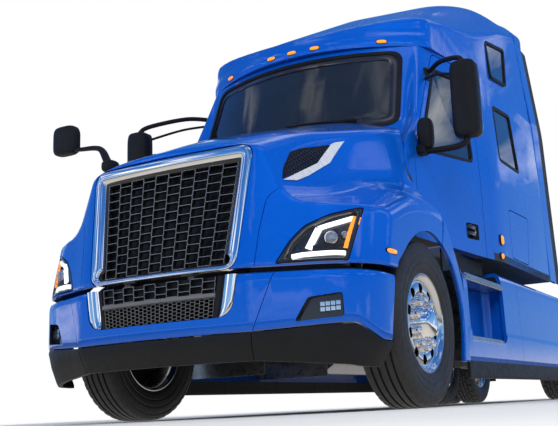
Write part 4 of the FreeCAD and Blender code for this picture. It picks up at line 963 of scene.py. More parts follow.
surround_path = dense(grille_outline(0.0), 0.015)
surround = swept("grille_surround_shape", surround_path, [
    (0.000, 0.058), (0.000, 0.012), (0.002, 0.005), (0.008, 0.001), (0.020, -0.001),
    (0.044, 0.001), (0.060, 0.007), (0.071, 0.016), (0.078, 0.030), (0.080, 0.058)], chrome)
inner_frame = swept("grille_inner_frame", surround_path, [
    (0.077, 0.060), (0.077, 0.030), (0.083, 0.028), (0.094, 0.033), (0.100, 0.046),
    (0.100, 0.060)], gloss_black)
barrel = dress(lathe("hood_barrel", [(0.0, 0.0098), (-0.040, 0.0098), (-0.040, 0.0005),
                                     (0.0, 0.0005)], 20, 0.1997, hinge_y, hood_bottom), cast_steel)
room = [(hinge_y + 0.0106 * cos(a / 10 * pi), hood_bottom + 0.0106 * sin(a / 10 * pi))
        for a in range(20)]
carve_both(surround, prism("room", room, "x", 0.22 - 0.0205, 0.22 + 0.0205))
finish_piece(joined("grille_surround_trim", surround, inner_frame, mirrored(barrel), barrel),
             "hood", "chrome", ["grille_surround"], 40)


def cell_mesh(columns, rows, edge_at, z0, z1, y_at, depth, wall, edge_highlight_grey):
    """Columns of cells, each shifted half a cell from its neighbour, with pale front edges: the
    edges' grey tone with a painted highlight on it.
    """
    black, pale = [], []
    pitch_z = (z1 - z0) / rows

    def add(x, z, half, slope, lean, wide, tall):
        black.append(((x, y_at(x, z) + depth / 2 + 0.002, z), (half, depth / 2, wide), slope,
                      lean))
        pale.append(((x, y_at(x, z), z), (half * (0.55 if lean else 1), 0.0022, tall), slope,
                     lean))

    for c in range(columns + 1):
        for r in range(2 * rows):
            z = z0 + (r + 0.5) * pitch_z / 2
            x = edge_at(z) * (2 * c / columns - 1)
            slope = atan2(y_at(x + 0.01, z) - y_at(x - 0.01, z), 0.02)
            tall = pitch_z / 4 + 0.0006
            add(x, z, wall, slope, 0.10 if (r + c) % 2 else -0.10, tall, tall)
    for c in range(columns):
        for r in range(rows + 1):
            z = z0 + (r + c % 2 / 2) * pitch_z
            if z > z1 + 0.001:
                continue
            xa, xb = [edge_at(z) * (2 * k / columns - 1) for k in (c, c + 1)]
            slope = atan2(y_at(xb, z) - y_at(xa, z), xb - xa)
            add((xa + xb) / 2, z, (xb - xa) / 2, slope, 0.0, wall, wall * 0.62)
    return [slab_row("cell_walls", black, black_plastic), slab_row("cell_fronts", pale, edge_highlight_grey)]


def mesh_y(x, z):
    return nose_y(x, z) + 0.034


def mesh_edge_at(z):
    return grille_edge(z) - surround_width - 0.018


# a black sheet closing the cells from behind: painted shade of the dark room behind the grille
back_line = dense(grille_outline(-sill_width), 0.06)
shade_backing = skin("grille_shade_backing", [[(x, mesh_y(x, z) + depth, z) for x, z in back_line]
                                  for depth in (0.030, 0.034)])
cells = cell_mesh(10, 11, mesh_edge_at, hood_bottom + sill_width + 0.006,
                  hood_z(grille_shares[1][1]) - surround_width - 0.012, mesh_y, 0.026, 0.0026,
                  grille_edge_highlight)
finish_piece(joined("grille_mesh", *cells, dress(shade_backing, black_plastic)), "hood",
             "grille_black", ["grille"], 30)


# Bumper: a section swept round the nose of the truck

bumper_shares = [(0.487, 0.043), (0.605, 0.100), (0.800, 0.187), (0.930, 0.287), (0.985, 0.426)]
bumper_end_share = 0.650
bumper_end_shares = [(-0.91, 1.65), (-1.11, 0.87), (-1.20, 0.40), (0.0, 0.40), (0.0, 1.65)]
trim_rows = [(0.0, 0.437), (0.58, 0.437), (1.00, 0.462), (1.11, 0.462), (1.35, 0.372),
             (1.9, 0.36)]
valance_rows = [(0.0, 0.292), (0.60, 0.290), (1.20, 0.236), (1.9, 0.225)]
mouth_side = [(0.400, 0.524), (0.436, 0.529), (0.466, 0.544), (0.488, 0.566), (0.500, 0.596),
              (0.510, 0.650), (0.523, 0.740), (0.531, 0.80)]
fog_points = [(0.800, 0.478), (1.034, 0.496), (1.030, 0.626), (0.870, 0.604)]


def bumper_plan():
    """Points round the bumper from the right end to the left end with outward directions."""
    edge_x, edge_s = bumper_shares[0][0] * half_width, bumper_shares[0][1] * front_overhang
    half = [(edge_x * k / 8, edge_s * (k / 8) ** 2) for k in range(8)]
    half += [(x * half_width, s * front_overhang)
             for x, s in bumper_shares + [(bumper_shares[-1][0], bumper_end_share)]]
    line = rounded([(x, s - front_overhang, 0) for x, s in both_ways(half)], 0.09)
    return [(p, Vector((way[1], -way[0], 0))) for p, way in ways_along(divided(line, 0.02))]


bumper_line = bumper_plan()
bumper_rows = sorted({round(p[0], 4): p[1] for p, _ in bumper_line if p[1] < -0.6}.items())


def bumper_y(x):
    return eased(bumper_rows, x, 0.02)[1]


def line_height(p, rows, reach):
    """Height of a line that runs along the bumper and round its ends."""
    return eased(rows, abs(p[0]) + max(0.0, p[1] + 0.85), reach)[1]


def band(name, section_at):
    """A closed section swept along the bumper's line; rows are (outward, height)."""
    return skin(name, [[(p[0] + way[0] * o, p[1] + way[1] * o, z) for o, z in section_at(p)]
                       for p, way in bumper_line])


def painted_section(p):
    low, top = line_height(p, trim_rows, 0.03) + 0.004, bumper_top
    return [(-0.006, low), (-0.001, low + 0.010), (0.0, low + 0.05), (0.0, top - 0.050),
            (-0.002, top - 0.024), (-0.008, top - 0.008), (-0.020, top), (-bumper_wall, top),
            (-bumper_wall, low)]


def valance_section(p):
    top, low = line_height(p, trim_rows, 0.03) - 0.004, line_height(p, valance_rows, 0.05)
    middle = top - 0.45 * (top - low)
    return [(-0.004, top), (-0.001, top - 0.012), (-0.018, middle), (-0.050, low + 0.02),
            (-0.060, low), (-0.088, low), (-0.084, low + 0.02), (-0.050, middle), (-0.034, top)]


def across(pairs, back, front=-front_overhang):
    """A cutter from an outline seen from the front."""
    return prism("cutter", pairs, "y", front, back)


def end_cutter():
    return prism("bumper_ends", [(y * tyre_radius, z * tyre_radius) for y, z in bumper_end_shares],
                 "x", -far, far)


painted = band("bumper_skin", painted_section)
carve(painted, end_cutter(), across(both_ways(mouth_side), -0.7, -front_overhang - overrun))
carve_both(painted, across(rounded_pairs(fog_points, 0.018, 4), -0.70),
           across([(0.580, 0.40), (0.584, 0.40), (0.728, 0.80), (0.724, 0.80)], -0.9,
                  -front_overhang - 0.1))
finish_piece(dress(painted, paint), "chassis", "blue_paint", ["bumper"])
valance = carve_both(carve(band("valance_skin", valance_section), end_cutter()),
                     across([(0.556, 0.2), (0.560, 0.2), (0.604, 0.5), (0.600, 0.5)], -0.85,
                            -front_overhang - 0.1))
dress(valance, valance_grey)


# Lower grille: two meshes with a dark bar between them, black posts and chrome at the sides

def low_y(x, z):
    return bumper_y(x) + 0.016


def low_edge(z):
    return 0.366 + (z - 0.53) * 0.10


def on_bumper(name, rings, material, **how):
    """A skin over rings of (x, depth behind the bumper's face, z)."""
    rings = [[(x, bumper_y(x) + depth, z) for x, depth, z in ring] for ring in rings]
    return dress(skin(name, rings, **how), material)


def post_edges(z):
    """Outer and inner edge of the chrome piece beside the lower grille."""
    outer = eased([(zz, xx) for xx, zz in mouth_side], z, 0.004)[1] - 0.004
    return outer, min(0.398 + (z - 0.53) * 0.16, outer - 0.004)


bar_end = low_edge(0.648) + 0.01
bar_section = [(0.040, 0.634), (0.014, 0.634), (0.004, 0.640), (0.003, 0.648), (0.008, 0.658),
               (0.014, 0.662), (0.040, 0.662)]
back_xs = spread(-0.50, 0.50, 24)
# the pale cell fronts of both lower meshes also carry a painted highlight
low_parts = [
    *cell_mesh(10, 2, low_edge, 0.664, 0.748, low_y, 0.018, 0.0024, grille_edge_highlight),
    *cell_mesh(26, 5, low_edge, 0.532, 0.632, low_y, 0.018, 0.0022, trim_grey),
    on_bumper("low_bar", [[(x, d, z) for d, z in bar_section]
                          for x in spread(-bar_end, bar_end, 24)], trim_grey),
    # a black sheet behind the lower meshes: painted shade of the room behind them
    on_bumper("low_shade_backing", [[(x, depth, 0.528) for x in back_xs]
                           + [(x, depth, 0.750) for x in reversed(back_xs)]
                           for depth in (0.036, 0.042)], black_plastic)]
post_section = [(0.0, 0.040), (0.0, 0.012), (0.04, 0.005), (0.12, 0.001), (0.35, -0.002),
                (0.65, 0.002), (0.88, 0.012), (1.0, 0.026), (1.0, 0.040)]
dark_section = [(0.0, 0.038), (0.0, 0.020), (0.2, 0.012), (0.9, 0.012), (1.0, 0.024),
                (1.0, 0.038)]
post_rings, dark_rings = [], []
for share in spread(0.0, 1.0, 24):
    z = 0.529 + (0.752 - 0.529) * share ** 1.4
    outer, inner = post_edges(z)
    post_rings.append([(outer + (inner - outer) * u, d, z) for u, d in post_section])
for z in spread(0.530, 0.750, 11):
    dark_rings.append([(post_edges(z)[1] + 0.002 - 0.034 * u, d, z) for u, d in dark_section])


# fog lamps: a dark recess with a small bright lamp
def fog_ring(depth, grow=0.0):
    return [(x, depth, z) for x, z in rounded_pairs(grown(fog_points, grow), 0.018, 4)]


lamp_x, lamp_z, lamp_pitch = 0.958, 0.556, 0.028
lamp_turn = atan2(bumper_y(lamp_x + 0.02) - bumper_y(lamp_x - 0.02), 0.04)
fog_cells, fog_backs = [], []
for _, way in sides:
    for r in (-0.5, 0.5):
        for c in (-1.5, -0.5, 0.5, 1.5):
            turn = lamp_turn * way
            off = Matrix.Rotation(turn, 3, "Z") @ Vector((c * lamp_pitch, 0, 0))
            x, y = way * lamp_x + off[0], bumper_y(lamp_x) + 0.030 + off[1]
            z = lamp_z + r * lamp_pitch + c * 0.002
            fog_cells.append(((x, y, z), (0.0125, 0.006, 0.0120), turn, 0.0))
            fog_backs.append(((x, y + 0.010, z), (0.0115, 0.006, 0.0108), turn, 0.0))
low_left = joined(
    "low_left", on_bumper("low_chrome", post_rings, chrome),
    on_bumper("low_post", dark_rings, valance_grey),
    on_bumper("fog_cup", [fog_ring(*row) for row in (
        (0.004, 0.000), (0.040, -0.004), (0.044, -0.004), (0.044, 0.006), (0.004, 0.006),
        (0.004, 0.000))], gloss_black, caps=False),
    on_bumper("fog_back", [fog_ring(0.038), fog_ring(0.046)], gloss_black))
low_parts += [mirrored(low_left), low_left, slab_row("fog_lens", fog_cells, clear_glass),
              slab_row("fog_mirror", fog_backs, chrome)]


# Cab: one smooth shell, from which the doors and hatches are parted

floor_top = cab_floor_height + 0.060
door_inner = 0.700 * half_width
sleeper_inner = 0.9
pillar_width = 0.038
door_shares = [
    (0.057, 0.168), (0.115, 0.085), (0.188, -0.018), (0.417, -0.018), (0.417, 0.985),
    (0.262, 0.985), (0.124, 0.573), (0.057, 0.400),
]
door_window_shares = [(0.102, 0.415), (0.382, 0.480), (0.382, 0.905), (0.253, 0.890)]
low_window_shares = [(0.571, 0.567), (0.763, 0.576), (0.740, 0.918), (0.575, 0.885)]
hatch_shares = [(0.600, 0.042), (0.760, 0.042), (0.797, 0.325), (0.600, 0.310)]
high_window_shares = [(0.621, 0.095), (0.770, 0.143), (0.838, 0.498), (0.656, 0.412)]
windshield_shares = [(0.700, 0.560), (0.672, 0.965)]


def windshield_outline(grow, round_off):
    (low_x, low_z), (high_x, high_z) = windshield_shares
    return trapeze(low_x * half_width + grow, high_x * half_width + grow, cab_z(low_z) - grow,
                   cab_z(high_z) + grow, round_off)


def front_zone():
    """The room ahead of the pillars, which the doors don't reach."""
    rings = []
    for height in spread(-0.1, 1.1, 24):
        level = cab_level(height)
        corner_x, corner_y = level[3] * half_width, cab_y(level[4]) + pillar_width
        inner_x = corner_x - cab_wall - 0.012
        inner_y = max(corner_y, cab_y(level[2]) + pillar_width) + cab_wall * 1.5
        chain = [(corner_x + 0.16, cab_front - 0.16), (corner_x + 0.16, corner_y),
                 (inner_x, corner_y), (inner_x, inner_y)]
        rings.append([(x, y, cab_z(height)) for x, y in chain]
                     + [(-x, y, cab_z(height)) for x, y in reversed(chain)])
    return skin("front_zone", rings)


def side_line(shares, grow, round_off, steps, roof=False):
    corners = [(cab_y(y), drip_height + z * roof_rise if roof else cab_z(z)) for y, z in shares]
    return rounded_pairs(grown(corners, grow) if grow else corners, round_off, steps)


def side_prism(shares, grow=0.0, round_off=0.05, inner=door_inner):
    return prism("side_prism", side_line(shares, grow, round_off, 5), "x", inner, far)


shell = cab_solid(0.0, cab_floor_height + 0.001)
boolean(shell, cab_solid(cab_wall, floor_top, drip_height + 0.05))
ahead = front_zone()
door_hole = boolean(side_prism(door_shares), ahead, keep_tool=True)
door = duplicate(shell, "door_left_panel")
boolean(door, boolean(side_prism(door_shares, -panel_gap, 0.045), ahead), "INTERSECT")
boolean(door, side_prism(door_window_shares))
hatch = duplicate(shell, "hatch_left_panel")
boolean(hatch, side_prism(hatch_shares, -panel_gap, 0.045, sleeper_inner), "INTERSECT")
for tool in (door_hole, side_prism(hatch_shares, inner=sleeper_inner),
             side_prism(low_window_shares, 0.0, 0.06, sleeper_inner)):
    carve(shell, mirrored(tool), tool)
boolean(shell, prism("screen_hole", windshield_outline(0.0, 0.09), "y", cab_front - 0.1,
                     cab_y(0.30)))
finish_piece(dress(shell, paint), "chassis", "blue_paint", ["cab_front", "cab_sides", "cab_back"],
             30)
shell.name = "cab_shell"


# Seals and panes

def band_on_side(name, shares, outer_grow, inner_grow, round_off, roof=False):
    """A black frame lying on the cab's side, between two outlines grown from the same shares."""
    reach = roof_side_x if roof else cab_side_x
    sink, proud = 0.02, 0.003
    rows = [(0, -sink), (0, proud * 0.6), (0.2, proud), (0.8, proud), (1, proud * 0.6),
            (1, -sink)]
    outer, inner = [side_line(shares, grow, max(round_off + grow, 0.01), 6, roof)
                    for grow in (outer_grow, inner_grow)]
    return dress(frame_between(name, outer, inner, rows, lambda o, i, share, depth: (
        reach(*(i if share > 0.5 else o)) + depth, *mix_pairs(o, i, share))), black_plastic)


def side_pane(name, shares, grow, depth, roof=False):
    """A pane following the cab's side, as a solid plate."""
    reach = roof_side_x if roof else cab_side_x
    return dress(plate(name, side_line(shares, grow, 0.05, 6, roof), None,
                       lambda y, z, layer: (reach(y, z) - layer, y, z), depth, 0.006, 5),
                 side_glass)


door_glass = side_pane("door_glass_pane", door_window_shares, 0.004, 0.012)
low_glass = side_pane("low_glass_pane", low_window_shares, -0.022, 0.010)
door_seal = band_on_side("door_seal", door_window_shares, 0.016, -0.008, 0.05)
low_frame = band_on_side("low_window_frame", low_window_shares, 0.004, -0.026, 0.055)

# door: handle and lock in their recess
handle_y, handle_z = 1.234, 1.272
cup_points = rounded_pairs([(handle_y + y, handle_z + z) for y, z in (
    (-0.110, -0.060), (0.110, -0.050), (0.110, 0.070), (-0.110, 0.056))], 0.02, 4)
face_x = cab_side_x(handle_y, handle_z)
boolean(door, prism("cup_room", cup_points, "x", face_x - 0.028, far))
cup = skin("handle_cup", [
    [(cab_side_x(y, z) + x, handle_y + (y - handle_y) * share, handle_z + (z - handle_z) * share)
     for y, z in cup_points] for x, share in ((-0.027, 1.0), (0.0005, 1.0), (0.0025, 1.02),
                                              (-0.004, 0.96), (-0.022, 0.88), (-0.026, 0.80))])
levers = []
for dz in (0.032, -0.016):
    path = smooth_path([(face_x + x, handle_y + y, handle_z + dz) for x, y in (
        (-0.020, -0.082), (0.002, -0.060), (0.003, 0.028), (-0.018, 0.048))], 5)
    levers.append(dress(tube("handle_lever", path, 0.0130, 10, 1.2), gloss_black))
lock = lathe("handle_lock", [(0.006, 0.0), (0.006, 0.012), (0.003, 0.015), (-0.010, 0.015),
                             (-0.010, 0.0)], 20, face_x - 0.006, handle_y + 0.084,
             handle_z + 0.016)


def for_both(name, pieces, body, slot, node, angle=32):
    """Joins the left pieces, mirrors them and puts each set on its own body."""
    left = joined(name + "_left_made", *pieces)
    for (side, _), thing in zip(sides, (left, mirrored(left, name + "_right_made"))):
        finish_piece(thing, body % side, slot, [node % side], angle)


for_both("door_panel", [dress(door, paint), door_seal, dress(cup, black_plastic),
                        dress(lock, polished), *levers], "door_%s", "blue_paint", "door_%s")
for_both("door_pane", [door_glass], "door_%s", "dark_glass", "door_glass_%s")
for_both("hatch_panel", [dress(hatch, paint)], "luggage_door_%s", "blue_paint",
         "luggage_door_%s")


# Windshield: a pane with a black border and its rubber

def front_face_y(x, z):
    """The cab's front surface at a place across it."""
    front, glass_x, glass_y = cab_level((z - cab_floor_height) / cab_height)[:3]
    share = min(abs(x) / (glass_x * half_width), 1.15)
    return cab_y(front) + (cab_y(glass_y) - cab_y(front)) * share ** 2


def edge_steps(outline):
    return [12 if dist(a, b) > 0.2 else 1 for a, b in zip(outline, outline[1:] + outline[:1])]


def front_band(name, outer_grow, inner_grow, proud, sink, outer_round, inner_round, material):
    outer = windshield_outline(outer_grow, outer_round)
    inner = windshield_outline(inner_grow, inner_round)
    steps = edge_steps(outer)
    rows = [(0, sink), (0, -proud * 0.5), (0.25, -proud), (0.75, -proud), (1, -proud * 0.5),
            (1, sink)]

    def put(o, i, share, depth):
        x, z = mix_pairs(o, i, share)
        return x, front_face_y(*o) * (1 - share) + front_face_y(*i) * share + depth, z

    return dress(frame_between(name, along_edges(outer, steps), along_edges(inner, steps), rows,
                               put), material)


screen_line = windshield_outline(0.004, 0.09)
windshield = dress(plate(
    "windshield_pane", along_edges(screen_line, edge_steps(screen_line)),
    (0, cab_z((windshield_shares[0][1] + windshield_shares[1][1]) / 2)),
    lambda x, z, layer: (x, front_face_y(x, z) + layer, z), 0.010, 0.007, 10), screen_glass)
rubber_edge = front_band("windshield_rubber", 0.018, -0.010, 0.005, 0.015, 0.10, 0.085,
                         black_plastic)
border = front_band("windshield_border", -0.004, -0.060, -0.0085, 0.0095, 0.09, 0.06,
                    gloss_black)


# Roof: a raised cap with a brow over the windshield

roof_shares = [
    # y, drip x, crease x, z, crest x, z, middle z
    (0.083, 0.760, 0.760, 0.080, 0.560, 0.085, 0.088),
    (0.153, 0.790, 0.785, 0.125, 0.590, 0.130, 0.138),
    (0.267, 0.840, 0.822, 0.215, 0.620, 0.265, 0.285),
    (0.427, 0.908, 0.850, 0.300, 0.650, 0.490, 0.525),
    (0.586, 0.946, 0.866, 0.410, 0.668, 0.680, 0.720),
    (0.745, 0.956, 0.874, 0.560, 0.680, 0.835, 0.870),
    (0.841, 0.960, 0.880, 0.650, 0.690, 0.900, 0.935),
    (1.0, 0.968, 0.885, 0.760, 0.700, 0.950, 1.0),
]
brow_middle_share = 0.115
brow_edge_share = 0.229
brow_x = 0.800 * half_width
brow_rows = ((0.006, 0.010), (0.030, 0.0), (0.090, 0.012), (0.140, 0.040))


def roof_half(y_share, inset, floor):
    _, drip, crease_x, crease_z, crest_x, crest_z, middle = eased(roof_shares, y_share, 0.07)
    return [
        (drip * half_width - inset, floor),
        (crease_x * half_width - inset, drip_height + crease_z * roof_rise - inset / 2),
        (crest_x * half_width - inset / 2, drip_height + crest_z * roof_rise - inset),
        (0.0, drip_height + middle * roof_rise - inset),
    ]


def arched(half, y):
    """A ring over the roof from its half section."""
    line = [(p[0], y, p[1]) for p in rounded_pairs(half, [0, 0.05, 0.20, 0], 7, False)]
    return line + [(-x, y, z) for x, y, z in reversed(line[:-1])]


def brow_solid(inset, z0, z1):
    rings = []
    edge_x = brow_x - inset
    for z, lean in ((z0, 0.012), *[(drip_height + z, lean) for z, lean in brow_rows],
                    (z1, 0.045)):
        edge_y, middle_y = [cab_y(share) + inset + lean
                            for share in (brow_edge_share, brow_middle_share)]
        bow = [(edge_x * k / 10, middle_y + (edge_y - middle_y) * (k / 10) ** 2, z)
               for k in range(11)]
        line = rounded(bow + [(far, edge_y + 0.36, z), (far, cab_back - inset, z)],
                       [0] + [0.02] * 9 + [0.16, 0.1, 0])
        rings.append(line + [(-p[0], p[1], p[2]) for p in reversed(line[1:])])
    return skin("brow_form", rings)


def roof_solid(inset, floor):
    form = skin("roof_form", [arched(roof_half(y, inset, floor), cab_y(y)) for y in spread(
        roof_shares[0][0], 1.0 - inset / cab_length, 44)])
    return boolean(form, brow_solid(inset, floor - overrun, roof_top + overrun), "INTERSECT")


def roof_side_x(y, z):
    (x0, z0), (x1, z1) = roof_half((y - cab_front) / cab_length, 0.0, drip_height)[:2]
    return x0 + (x1 - x0) * min(max((z - z0) / (z1 - z0), 0.0), 1.0)


roof = softened(roof_solid(0.0, drip_height - 0.16), 0.018, 5)
carve(roof, block("under", -far, far, cab_front - 0.3, cab_back + 0.3, drip_height - 0.4,
                  drip_height + 0.004), roof_solid(0.055, drip_height - overrun))
carve_both(roof, prism("high_window_hole", side_line(high_window_shares, 0.0, 0.06, 6, True),
                       "x", 0.6, far),
           block("roof_seam", 0.84, far, 1.148, 1.153, drip_height - 0.1, 2.975))
finish_piece(dress(roof, paint), "chassis", "blue_paint", ["cab_roof"], 32)
roof.name = "roof_shell"
high_glass = side_pane("high_glass_pane", high_window_shares, -0.022, 0.010, True)
high_frame = band_on_side("high_window_frame", high_window_shares, 0.004, -0.026, 0.055, True)
side_panes = joined("side_panes", low_glass, high_glass)
finish_piece(joined("glazing", windshield, side_panes, mirrored(side_panes)), "chassis",
             "dark_glass", ["glass"])
finish_piece(with_mirror("window_seals", joined("side_seals", low_frame, high_frame), rubber_edge,
                         border), "chassis", "black_plastic")


# Lamps

def dome(name, centre, half, way, material, rings=6, count=20, power=3.0):
    """A bulged lens: a rounded-square foot that rises to a flat dome along a direction."""
    out = Vector(way).normalized()
    side = Vector((0, 0, 1)).cross(out).normalized()
    lift = out.cross(side).normalized()
    rows = [(1.0, -0.6)] + [(cos(pi / 2 * k / rings), sin(pi / 2 * k / rings))
                            for k in range(rings)]
    made = []
    for share, rise in rows:
        ring = []
        for k in range(count):
            c, s = cos(2 * pi * k / count), sin(2 * pi * k / count)
            r = share * (abs(c) ** power + abs(s) ** power) ** (-1 / power)
            ring.append(Vector(centre) + side * (half[0] * r * c) + lift * (half[1] * r * s)
                        + out * (half[2] * rise))
        made.append(ring)
    return dress(tidy(skin(name, made), 50), material)


lamp_parts = []
brow_y = cab_y(brow_middle_share)
bend = (cab_y(brow_edge_share) - brow_y) / brow_x ** 2
for x in [share * half_width for share in (0.0, 0.160, -0.160, 0.568, -0.568)]:
    at = Vector((x, brow_y + bend * x * x + 0.006, drip_height + 0.040))
    way = Vector((2 * bend * x, -1.0, 0.05)).normalized()
    lamp_parts += [dome("marker_foot", at, (0.044, 0.0185, 0.006), way, black_plastic),
                   dome("marker_lens", at + way * 0.002, (0.038, 0.0135, 0.015), way, amber)]
tail_y = flap_y + 0.036
for _, way in sides:
    for y, z, wide, tall in ((1.760, 1.280, 0.030, 0.038), (1.735, 1.145, 0.026, 0.022)):
        x = cab_side_x(y, z)
        lamp_parts += [dome("side_foot", (way * (x + 0.002), y, z),
                            (wide + 0.010, tall + 0.008, 0.008), (way, 0, 0), black_plastic),
                       dome("side_lens", (way * (x + 0.006), y + 0.004, z), (wide, tall, 0.016),
                            (way, 0, 0), amber)]
    for x in (0.50 * half_width * way, 0.68 * half_width * way):
        lamp_parts += [dome("tail_foot", (x, tail_y, 0.855), (0.058, 0.040, 0.010), (0, 1, 0),
                            black_plastic),
                       dome("tail_lens", (x, tail_y + 0.004, 0.855), (0.050, 0.034, 0.018),
                            (0, 1, 0), red_lens)]
finish_piece(joined("marker_lamps", *lamp_parts), "chassis", "amber_lens", ["lamps"], 50)


# Headlamps: black bucket, light strips, two lenses and a clear cover

def on_nose(x, z, depth):
    return (x, nose_y(min(x, nose_reach), z) + depth, z)


def nose_plate(name, grow, depth, thick, material):
    return dress(plate(name, dense(lamp_outline(grow), 0.03), None, on_nose, depth, thick, 8, 45),
                 material)


def strip_on_nose(name, path, depth, half, material):
    """A light strip: a flat bar along a path of (x, z) points just behind the cover."""
    rings = []
    for p, way in ways_along(divided([Vector((x, 0, z)) for x, z in path], 0.02)):
        places = [(p + Vector((-way[2], 0, way[0])) * (half * a), d) for a, d in (
            (-1.0, 0.02), (-1.0, 0.0018), (-0.6, 0.0), (0.6, 0.0), (1.0, 0.0018),
            (1.0, 0.02))]
        rings.append([on_nose(q[0], q[2], depth + d) for q, d in places])
    return dress(tidy(skin(name, rings), 50), material)


bezel_rows = ((-0.003, 0.060), (-0.003, 0.004), (-0.006, -0.001), (-0.016, 0.000),
              (-0.020, 0.010), (-0.022, 0.060))
bezel_lines = [[on_nose(x, z, depth) for x, z in lamp_outline(grow)] for grow, depth in bezel_rows]
bezel_steps = [max(1, int(dist(a, b) / 0.03))
               for a, b in zip(bezel_lines[0], bezel_lines[0][1:] + bezel_lines[0][:1])]
bezel_rings = [[on_nose(x, z, depth) for x, z in along_edges([(p[0], p[2]) for p in line],
                                                             bezel_steps)]
               for line, (_, depth) in zip(bezel_lines, bezel_rows)]
bezel_rings = [list(row) for row in zip(*bezel_rings)]
head_parts = [
    dress(tidy(skin("lamp_bezel", bezel_rings + [bezel_rings[0]], caps=False), 40), gloss_black),
    nose_plate("lamp_bucket", -0.010, 0.056, 0.012, gloss_black),
    nose_plate("lamp_cover", -0.015, 0.003, 0.004, clear_glass)]
for name, path, depth, half, material in (
        ("low_strip", [(0.780, 0.830), (0.830, 0.838), (0.985, 0.843), (1.030, 0.840)], 0.016,
         0.0125, white_led),
        ("inner_strip", [(0.858, 0.868), (0.880, 0.920), (0.906, 0.982)], 0.016, 0.0145,
         white_led),
        ("upper_strip", [(0.906, 0.982), (0.990, 1.012), (1.060, 1.040)], 0.016, 0.0115,
         white_led),
        ("amber_strip", [(1.043, 0.864), (1.058, 0.950), (1.078, 1.046)], 0.004, 0.015, amber),
        ("shelf", [(0.880, 0.875), (0.960, 0.880), (1.050, 0.884)], 0.024, 0.014, valance_grey)):
    head_parts.append(strip_on_nose(name, path, depth, half, material))
way = Vector((0.35, -1.0, 0.0))
for x, z, r in ((0.962, 0.928, 0.035), (1.022, 0.944, 0.019)):
    for name, lift, wide, tall, material, rings in (
            ("lens_ring", 0.0, 1.22, 0.35, valance_grey, 5),
            ("lens_chrome", 0.006, 1.08, 0.35, chrome, 5),
            ("lens_glass", 0.008, 0.92, 0.62, projector_glass, 7)):
        head_parts.append(dome(name, Vector(on_nose(x, z, 0.036)) + way * lift,
                               (r * wide, r * wide, r * tall), way, material, rings, 28, 2.0))
left_lamp = joined("headlamp_left_made", *head_parts)
side_marker = []
for _, side in sides:
    at, way = Vector((side * (half_width - 0.006), -0.548, 0.868)), (side, -0.10, 0.0)
    side_marker += [dome("fender_foot", at, (0.062, 0.020, 0.012), way, black_plastic),
                    dome("fender_lens", at + Vector(way) * 0.004, (0.056, 0.015, 0.013), way,
                         amber)]
finish_piece(with_mirror("headlamps_made", left_lamp, *side_marker), "hood", "lamp_lens",
             ["headlamps"], 45)


# Hood vents: a dark mesh with a bright blade below it, one on each side

vent_points = [(-0.903, 1.290), (-0.868, 1.362), (-0.777, 1.479), (-0.694, 1.516),
               (-0.455, 1.584), (-0.487, 1.513), (-0.617, 1.414)]
blade_points = [(-0.455, 1.586), (-0.480, 1.513), (-0.612, 1.414), (-0.905, 1.282),
                (-0.800, 1.297), (-0.700, 1.342), (-0.500, 1.458), (-0.396, 1.572),
                (-0.342, 1.629), (-0.420, 1.606)]


def hood_side(y, z, depth):
    """A place on the hood's side, or that deep under it."""
    hit, where, _, _ = hood.ray_cast(Vector((1.4, y + axle_y, z)), Vector((-1, 0, 0)))
    return ((where.x if hit else 0.75) - depth, y, z)


def inside(point, outline):
    found = False
    for (y0, z0), (y1, z1) in zip(outline, outline[1:] + outline[:1]):
        if (z0 > point[1]) != (z1 > point[1]):
            if point[0] < y0 + (point[1] - z0) / (z1 - z0) * (y1 - y0):
                found = not found
    return found


def edge_counts(outline, longest):
    return [max(1, ceil(dist(a, b) / longest))
            for a, b in zip(outline, outline[1:] + outline[:1])]


def patch(name, outline, longest, depth, thick, material):
    """A thin plate inside an outline, lying on the hood's side."""
    line = along_edges(outline, edge_counts(outline, longest))
    my, mz = [sum(p[w] for p in line) / len(line) for w in (0, 1)]
    layers = [[[hood_side(my + (y - my) * share, mz + (z - mz) * share, layer) for y, z in line]
               for share in spread(1.0, 0.02, 3)]
              for layer in (depth, depth + thick)]
    return dress(tidy(skin(name, layers[0][::-1] + layers[1]), 40), material)


comb_faces = ((0, 1, 2, 3), (7, 6, 5, 4), (0, 4, 5, 1), (1, 5, 6, 2), (2, 6, 7, 3), (3, 7, 4, 0))


def comb(name, outline, cell, wall, top, bottom):
    """Six-sided cells inside an outline: each cell's walls are thin plates."""
    points, faces = [], []
    low_y, high_y = min(p[0] for p in outline), max(p[0] for p in outline)
    z, high_z = min(p[1] for p in outline), max(p[1] for p in outline)
    row = 0
    while z < high_z:
        y = low_y + (cell * 0.75 if row % 2 else 0.0)
        while y < high_y:
            corners = [(y + cell / 2 * cos(pi / 3 * k), z + cell / 2 * sin(pi / 3 * k))
                       for k in range(4)]
            for a, b in zip(corners, corners[1:]):
                if inside(a, outline) and inside(b, outline):
                    size = dist(a, b)
                    ny, nz = -(b[1] - a[1]) / size * wall, (b[0] - a[0]) / size * wall
                    faces += [tuple(len(points) + i for i in face) for face in comb_faces]
                    points += [hood_side(p[0] + ny * s, p[1] + nz * s, depth)
                               for depth in (top, bottom)
                               for p, s in ((a, 1), (b, 1), (b, -1), (a, -1))]
            y += cell * 1.5
        z += cell * sqrt(3) / 4
        row += 1
    return dress(tidy(shape(name, points, faces)), black_plastic)


